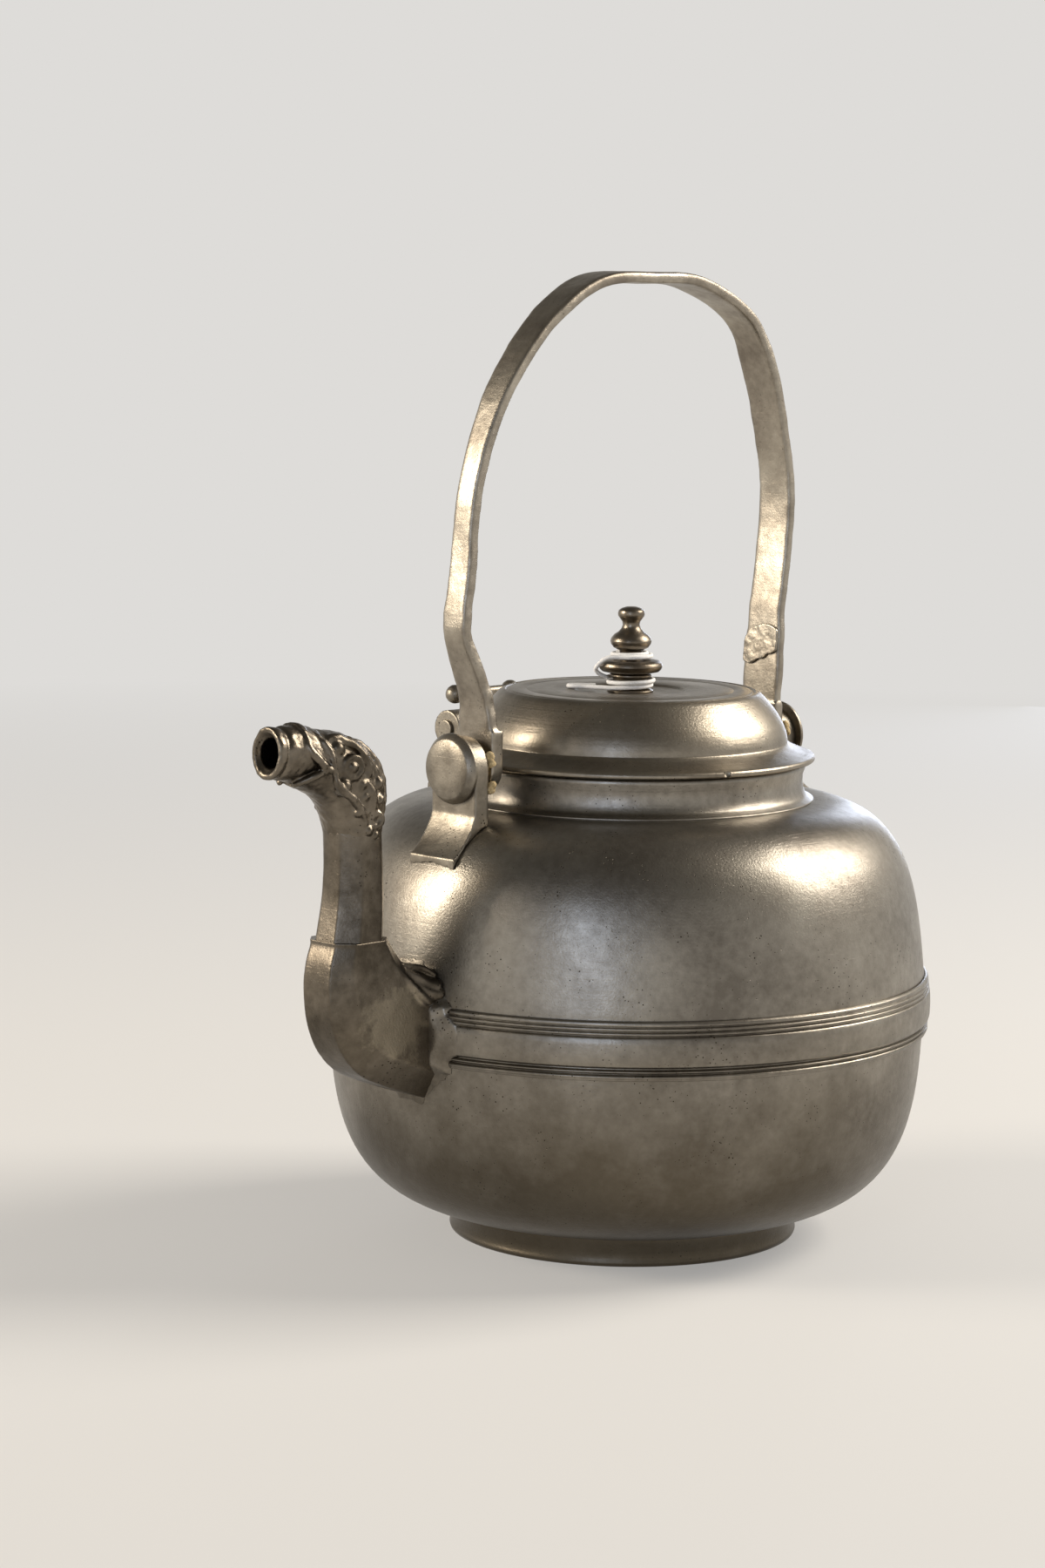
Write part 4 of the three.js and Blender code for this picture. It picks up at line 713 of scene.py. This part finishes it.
# the underside lies just inside the body
seat_angles = [k / SEAT_SIDES * math.tau for k in range(SEAT_SIDES)]
seat_rings += [[seat_spot(angle, seat_reach(angle, share), -0.1) for angle in seat_angles]
               for share in (1, 0.5, 0)]
seat = skin("spout_seat_fine", seat_rings, looped=True)
bpy.ops.object.shade_smooth_by_angle(angle=math.radians(60))
finish_piece(seat, solder, "pot", "dull_pewter", "spout_seat")


# Spout, lower part: a cast elbow of eight facets, hollow, that swells at the bend and rises to a
# raised rim at the joint. A lip, a ledge and a filling close the upper corners of its root.
def spout_point(out, up, side):
    """A point out from the belly's side, up from its seam, and to the side."""
    return Vector((AXIS + (-BODY_RADIUS - out) * MM, side * MM, (SEAM_HEIGHT + up) * MM))


def add_tube(piece, points, radii):
    """Adds a round rod through points to a piece, with its radius along the way."""
    rod = round_line("rod", MM, 5, points)
    for knot, radius in zip(rod.data.splines[0].bezier_points, radii):
        knot.radius = radius
    bpy.ops.object.select_all(action="DESELECT")
    rod.select_set(True)
    bpy.context.view_layer.objects.active = rod
    bpy.ops.object.convert(target="MESH")
    join_into(piece)


# cast and never turned, and more pitted; its colour is darker than the body's, a painted shade
spout_pewter = old_pewter("old pewter, faceted spout", "#514a40", "#80776a", 0.33, pits=1.2, patch=60)
# each row has the outer edge (out, up), the inner edge (out, up), half the width, and then for the
# outer and the inner side half the width of the middle facet and the depth of the slanted ones
foot_rows = [(-1.6, -17.4, -1.6, 18, 10.9, 5.8, 7.4, 8.6, 7.6),
             (2.9, -16, -0.5, 18, 10.7, 5.7, 7.4, 8.5, 7.4),
             (13.9, -12, 2.5, 18.6, 10.4, 5.6, 7.4, 8.1, 7.2),
             (21.4, -8.4, 5.5, 19.2, 10.1, 5.5, 7.3, 7.5, 5.2),
             (26.4, -3.7, 7.5, 20, 9.9, 5.4, 7.1, 6.9, 4), (29.4, 1, 8.8, 21.2, 9.7, 5.3, 6.9, 6.5, 3.6),
             (31.4, 6.5, 9.8, 22.6, 9.5, 5.2, 6.6, 6.2, 3.7),
             (32.3, 12, 10.6, 23.8, 9.3, 5.1, 6.2, 5.9, 3.6), (32.4, 17, 11.2, 25, 9.1, 5, 5.6, 5.6, 3.6),
             (31.7, 22, 11.7, 26.2, 8.9, 4.9, 4.9, 5.3, 3.7),
             (30.4, 26.2, 12.1, 26.7, 8.85, 4.8, 4.2, 5.1, 3.9),
             (30.4, 27.5, 12.1, 27.5, 9.05, 4.9, 4.1, 5.1, 4)]


def facet_ring(row, inset):
    """A ring of eight corners for a row, drawn in by inset all round."""
    start, inner = Vector(row[:2]), Vector(row[2:4])
    wide, slim = row[4] - inset, 1 - inset / row[4]
    flat, inner_flat = row[5] * slim, row[7] * slim
    cut_off, inner_cut = row[6] - 0.4 * inset, row[8] - 0.4 * inset
    across = (inner - start).normalized()
    depth = (inner - start).length - 2 * inset
    start += across * inset
    corners = [(0, flat), (0, -flat), (cut_off, -wide), (depth - inner_cut, -wide), (depth, -inner_flat),
               (depth, inner_flat), (depth - inner_cut, wide), (cut_off, wide)]
    return [spout_point(*(start + across * along), side) for along, side in corners]


fine_rows = spline_rows(foot_rows, 4)
foot_outside = [facet_ring(row, 0) for row in fine_rows]
foot_inside = [facet_ring(row, WALL) for row in fine_rows[::-1]]
spout_foot = skin("spout_foot_fine", foot_outside + foot_inside, looped=True)
# the lip, the ledge and the filling of a corner, as points and radii
root_rods = [([(0.9, 9.6, 10.9), (2.6, 9.9, 11), (4.6, 11.4, 10.7), (7.9, 15, 9.9), (10.6, 18.2, 9.1)],
              [0.7, 1.1, 1.1, 0.8, 0.4]),
             ([(9.6, 20.2, 7), (6, 19.4, 7.9), (2.1, 18.3, 8.5), (-0.8, 16.4, 9.8)], [0.5, 0.8, 0.8, 0.6]),
             ([(8.8, 18.8, 7.5), (5, 16.4, 8.5), (2, 14.4, 9.4), (-1.2, 13.4, 10.6)], [0.7, 1.5, 1.8, 2]),
             ([(6, 15.4, 9), (3.4, 13, 9.8), (1, 11.8, 10.4), (-1.6, 11.4, 11.2)], [0.7, 1.5, 1.8, 2])]
for side in (-1, 1):
    for points, radii in root_rods:
        add_tube(spout_foot, [spout_point(out, up, side * y) for out, up, y in points], radii)
worn(spout_foot, 0.38, 5, 0.08, 0.01)
# the same darker metal, its darkness a painted shade, with one bright patch that is partly solder
# wiped on and partly painted light over the shade of the root's corner, with an edge ragged every 6 mm
foot_pewter = old_pewter("old pewter, solder wash and painted light", "#514a40", "#80776a", 0.33, pits=1.2, patch=60)
shader = foot_pewter.node_tree.nodes["Principled BSDF"]
bare = shader.inputs["Base Color"].links[0].from_socket
place = add_node(foot_pewter, "TexCoord").outputs["Object"]
away = add_node(foot_pewter, "VectorMath", {0: place, 1: spout_point(13.5, 5, -10)}, operation="DISTANCE")
edge = add_node(foot_pewter, "TexNoise", {"Vector": place, "Scale": 170, "Detail": 5, "Roughness": 0.65})
reach = add_node(foot_pewter, "Math", {0: edge, 1: 0.022, 2: away.outputs["Value"]},
                 operation="MULTIPLY_ADD")
# share of the bright patch: solder, and painted light over the corner's shade
solder_and_painted_light_share = add_node(foot_pewter, "MapRange", {0: reach, 1: 0.0225, 2: 0.0185, 3: 0, 4: 0.36})
solder_and_painted_light_colour = add_node(foot_pewter, "Mix", {0: solder_and_painted_light_share, 6: bare, 7: linear("#b3a892")},
                  data_type="RGBA")
foot_pewter.node_tree.links.new(solder_and_painted_light_colour.outputs[2], shader.inputs["Base Color"])
finish_piece(spout_foot, foot_pewter, "pot", "pewter", "spout_foot")


# Spout, neck: a hollow tube of eight facets that fade upwards, drawn in and bowed, between the
# lower part's rim and the head.
def corner(angle, facets):
    """How far a facet stands out at an angle, for facets from 0, a round ring, to 1, sharp."""
    return 1 + facets * (1 / math.cos((angle + math.pi / 8) % (math.pi / 4) - math.pi / 8) - 1)


NECK_WALL, NECK_ROWS, NECK_SIDES = 1.9, 33, 64
NECK_RADIUS, NECK_TAPER, NECK_WAIST = 8.7, 1.05, 0.3  # at its foot, lost upwards, lost halfway
NECK_OUT, NECK_LEAN, NECK_BOW = 21.2, 0.9, 0.9  # where it stands, and how it leans and bows back
NECK_FOOT, NECK_HEIGHT = 26.4, 29.8


def neck_ring(share, wall):
    """A ring at a share of the neck's height, drawn in by the wall."""
    bow = math.sin(share * math.pi)
    ring = []
    for k in range(NECK_SIDES):
        angle = k / NECK_SIDES * math.tau
        radius = NECK_RADIUS - NECK_TAPER * share - NECK_WAIST * bow - wall
        radius *= corner(angle, 1 - 0.8 * share ** 2)
        out = NECK_OUT - NECK_LEAN * share - NECK_BOW * bow + radius * math.cos(angle)
        ring.append(spout_point(out, NECK_FOOT + NECK_HEIGHT * share, -radius * math.sin(angle)))
    return ring


shares = [step / (NECK_ROWS - 1) for step in range(NECK_ROWS)]
neck_outside = [neck_ring(share, 0) for share in shares]
neck_inside = [neck_ring(share, NECK_WALL) for share in shares[::-1]]
neck = skin("spout_neck_fine", neck_outside + neck_inside, looped=True)
worn(neck, 0.4, 3, 0.1, 0.01)
finish_piece(neck, spout_pewter, "pot", "pewter", "spout_neck")


# Spout, head: a serpent cast over the spout's end. The spout's snout with its rolled rim comes out
# of the open jaws; lips, brows, cheeks, bulging eyes and a ragged mane stand out on the skull.
HEAD_SIDES = 48
HEAD_OUT, HEAD_UP = 20.3, 56  # where the head's own measures start on the spout
BORE_RADIUS, BORE_TAPER = 5.4, 1.8
MOUTH_START, MOUTH_SHARE, MOUTH_WALL = 0.86, 0.14, 1.1  # along the head, and the wall at the rim
SKULL_SWELL = 0.9  # how far the skull stands out from the spout that comes out of its jaws
# each row has the throat (out, up), the crest (out, up) and half the width
head_rows = [(7.2, -3.2, -7.2, -3.2, 7.2), (7.85, 0.6, -7.8, 0.8, 7.85), (8.7, 4, -7.9, 7.5, 7.6),
             (10.2, 7.5, -6.2, 15, 7.4), (13.3, 10.3, -1.5, 21, 7.1), (16.6, 12, 6.1, 25.2, 6.6),
             (20.6, 13.6, 14.4, 26.6, 6.2), (24, 14.4, 20.3, 28.6, 6.2), (26.6, 14.9, 24.3, 28.8, 6),
             (27.2, 15.6, 25.3, 28.2, 5.4), (28.2, 15.2, 26.8, 28.7, 5.8), (29, 15.1, 27.9, 28.9, 5.9),
             (29.8, 15.3, 29, 28.8, 5.6)]


def head_point(out, up, side):
    """A point by the head's own measures."""
    return spout_point(HEAD_OUT + out, HEAD_UP + up, side)


def head_ring(row, tall, wide, facets=0.0):
    """A ring round the middle of a row, with its own half height and half width."""
    throat, crest = Vector(row[:2]), Vector(row[2:4])
    upward = (crest - throat).normalized()
    ring = []
    for k in range(HEAD_SIDES):
        angle = k / HEAD_SIDES * math.tau
        proud = corner(angle, facets)
        spot = (throat + crest) / 2 - upward * tall * proud * math.cos(angle)
        ring.append(head_point(spot.x, spot.y, -wide * proud * math.sin(angle)))
    return ring


def half_height(row):
    """Half the distance from throat to crest."""
    return math.hypot(row[2] - row[0], row[3] - row[1]) / 2


fine_head = spline_rows(head_rows, 5)
skull_rows = fine_head[5:37]
swell = [SKULL_SWELL * min(1, i / 8) for i in range(len(skull_rows))]
skull = skin("spout_head_fine", [head_ring(row, half_height(row) + more, row[4] + more)
                                 for row, more in zip(skull_rows, swell)])
gape_line = [(15.2, 18.2), (19.6, 22), (21.6, 31), (40, 31), (40, 10), (22.4, 12.6)]
gape = skin("gape", [[head_point(out, up, side) for out, up in gape_line] for side in (-20, 20)])
cut(skull, gape)
snout = skin("snout", [head_ring(row, half_height(row), row[4], 0.2 * max(0, 1 - i / 8))
                       for i, row in enumerate(fine_head)])
snout.select_set(True)
join_into(skull)
# lips, folds, jaw, brow and the strands of the mane, as points and radii
ridges = [([(21.4, 27.2, 2), (20.6, 24.4, 5.2), (18.9, 21.3, 7), (16.4, 18.6, 7.7), (13.6, 16.8, 7.9)],
           [0.7, 1.1, 1.2, 1.2, 0.7]),
          ([(17.4, 27.2, 2), (15.6, 25, 5.2), (14, 21.8, 7.1), (13.2, 18.6, 7.9), (12.8, 16, 8.1)],
           [0.6, 1, 1.1, 0.9, 0.6]),
          ([(22.6, 13.5, 2.4), (21, 14.7, 5), (18.4, 16.2, 7), (15.8, 17.2, 7.8)], [0.7, 0.9, 1, 0.9]),
          ([(13.4, 24.2, 4.8), (11, 24.9, 4.7), (7.4, 24, 5.6), (3.6, 21.4, 6.9), (1.6, 18, 7.7),
            (1, 14.6, 8)], [1, 1.6, 1.3, 1.2, 1.1, 0.7]),
          ([(12.8, 17.2, 8), (12.6, 14.2, 8.2), (10.4, 11.6, 8.3), (7.9, 10, 8.4), (5.3, 7.4, 8.3),
            (3, 4.6, 8), (2, 1.4, 7.6)], [0.7, 1, 1.2, 1.2, 1, 0.9, 0.6]),
          ([(2.4, 13.6, 8.1), (0.6, 10.8, 8), (-0.3, 7.8, 7.8), (-0.6, 5, 7.5)], [0.8, 1.3, 1.2, 0.9]),
          ([(9, 25.6, 3.4), (4, 23.4, 4.6), (0.2, 19.4, 5.8), (-2, 15, 6.4), (-2.6, 11, 6.6)],
           [0.6, 1.2, 1.2, 1.1, 0.7]),
          ([(4, 24.6, 2.2), (-0.9, 21.6, 3), (-4.2, 17.6, 3.8), (-6, 13, 4.2), (-6.4, 8.2, 4.4),
            (-5.6, 3.4, 4.4), (-3.4, -0.4, 5)], [0.6, 1.3, 1.4, 1.4, 1.3, 1.2, 0.9])]
for side in (-1, 1):
    for points, radii in ridges:
        add_tube(skull, [head_point(out, up, side * y) for out, up, y in points], radii)
    for out, up, y, size, thick in ((6.9, 17.5, 7.9, 2.7, 0.9), (-1.6, 3.2, 7.6, 1.7, 0.9)):
        bpy.ops.mesh.primitive_torus_add(
            location=head_point(out, up, side * y), rotation=(math.radians(90), 0, side * 0.2),
            major_radius=size * MM, minor_radius=thick * MM, major_segments=32, minor_segments=10)
        join_into(skull)
# eyes, cheeks and curls on both sides, and knobs along the back
balls = [(6.9, 17.4, 7.3, 2), (10.6, 22.4, 5.6, 2.2), (9.6, 12.6, 6.8, 2.5), (3.4, 12.8, 7.4, 1.5),
         (2.6, 9.6, 7.4, 1.5), (-2.6, 12.6, 6.9, 1.7), (-2.6, 8.4, 7.2, 1.6), (4.6, 5.6, 7.6, 1.3),
         (1.2, 0.6, 7.3, 1.5), (-1.4, -0.8, 7, 1.4)]
balls = [(out, up, side * y, size) for out, up, y, size in balls for side in (-1, 1)]
balls += [(-8.1, 10.6, 0, 2.9), (-7, 15.6, 0, 1.9), (-8.4, 5.4, 0, 2), (-8, 1.6, 0, 1.8)]
for out, up, y, size in balls:
    bpy.ops.mesh.primitive_uv_sphere_add(segments=20, ring_count=12, radius=size * MM,
                                         location=head_point(out, up, y))
    join_into(skull)
worn(skull, 0.32, 1, 0.22, 0.0018)
# the bore starts 2 mm below the head, narrows, flares to a ragged rim and ends 3 mm past it
bores = [[p + Vector((0, 0, -2 * MM)) for p in head_ring(head_rows[0], BORE_RADIUS, BORE_RADIUS)]]
for i, row in enumerate(fine_head):
    share = i / (len(fine_head) - 1)
    narrow = BORE_RADIUS - BORE_TAPER * share
    flare = max(0, (share - MOUTH_START) / MOUTH_SHARE)
    ragged = 0.25 * flare
    tall = narrow + (half_height(row) - MOUTH_WALL - narrow) * flare
    wide = narrow + (row[4] - MOUTH_WALL - narrow) * flare
    bores.append([p + Vector((0, 0, ragged * noise.noise(Vector((k * 0.35, i, 0))) * MM))
                  for k, p in enumerate(head_ring(row, tall, wide))])
bores.append([p + Vector((-3 * MM, 0, 0)) for p in bores[-1]])
cut(skull, skin("bore", bores))
worn(skull, 0.3, 1)
# cast, with the most pits; its colour is the darkest of the pot, a painted shade
serpent_pewter = old_pewter("old pewter, serpent head", "#4c453b", "#80776a", 0.32, pits=1.5, patch=60)
finish_piece(skull, serpent_pewter, "pot", "dull_pewter", "spout_head")

# Floor and light: a pale paper floor under soft lamps. A warm lamp stands on the left and a larger
# one on the right, with faint cool ones in front and behind. The room is darker overhead.
BACKDROP = "#dedcd9"
bpy.ops.mesh.primitive_circle_add(vertices=96, radius=12, fill_type="NGON", location=(0, 0, 0))
floor = bpy.context.object
floor.name = "floor"
# matte paper, a little darker near the pot than the room
paper, shader = new_material("pale paper")
shader.inputs["Base Color"].default_value = linear("#d9d7d3")
shader.inputs["Roughness"].default_value = 0.9
# far off, the paper is as pale as the room behind it, for the eye and for what the metal reflects
place = add_node(paper, "TexCoord").outputs["Object"]
away = add_node(paper, "VectorMath", {0: place}, operation="LENGTH")
far = add_node(paper, "MapRange", {0: away.outputs["Value"], 1: 0.3, 2: 1.5, 3: 0.4, 4: 1})
path = add_node(paper, "LightPath").outputs
direct = add_node(paper, "Math", {0: path["Is Camera Ray"], 1: path["Is Glossy Ray"]},
                  operation="MAXIMUM")
seen = add_node(paper, "Math", {0: direct, 1: path["Is Transmission Ray"]},
                operation="MAXIMUM")
amount = add_node(paper, "Math", {0: seen, 1: far}, operation="MULTIPLY")
glow = add_node(paper, "Emission", {"Color": linear(BACKDROP), "Strength": 1})
sweep = add_node(paper, "MixShader", {0: amount, 1: shader, 2: glow})
paper.node_tree.links.new(sweep.outputs[0], paper.node_tree.nodes["Material Output"].inputs["Surface"])
floor.data.materials.append(paper)
LAMP_AIM_HEIGHT = 0.1


def soft_lamp(name, azimuth, rise, distance, size, power, colour):
    """A rectangular lamp that faces the pot's middle from a bearing and a rise in degrees."""
    a, e = math.radians(azimuth), math.radians(rise)
    place = (distance * math.cos(a) * math.cos(e), distance * math.sin(a) * math.cos(e),
             LAMP_AIM_HEIGHT + distance * math.sin(e))
    aim = Vector((0, 0, LAMP_AIM_HEIGHT)) - Vector(place)
    turned = aim.to_track_quat("-Z", "Y").to_euler()
    bpy.ops.object.light_add(type="AREA", location=place, rotation=turned)
    lamp = bpy.context.object
    lamp.name = name
    lamp.data.shape = "RECTANGLE"
    lamp.data.size, lamp.data.size_y = size
    lamp.data.energy = power
    lamp.data.color = linear(colour)[:3]


soft_lamp("warm lamp", 143, 22, 1.5, (0.6, 0.5), 18, "#fff3e2")
soft_lamp("right lamp", -31, 36, 1.5, (0.8, 0.7), 28, "#fff7ec")
soft_lamp("cool lamp", -150, 14, 1.9, (0.5, 0.9), 4, "#c8dcff")
soft_lamp("rim lamp", 30, 6, 1.4, (0.15, 0.6), 2, "#dce8ff")

world = bpy.data.worlds.new("soft room")
bpy.context.scene.world = world
world.use_nodes = True
sky = add_node(world, "TexCoord").outputs["Generated"]
up = add_node(world, "SeparateXYZ", {0: sky})
fall = add_node(world, "MapRange", {0: up.outputs[2], 1: 0.12, 2: 0.6})
room = add_node(world, "Mix", {0: fall, 6: linear(BACKDROP), 7: linear("#64625e")}, data_type="RGBA")
world.node_tree.links.new(room.outputs[2], world.node_tree.nodes["Background"].inputs["Color"])
world.node_tree.nodes["Background"].inputs["Strength"].default_value = 1
bpy.context.scene.view_settings.view_transform = "Standard"
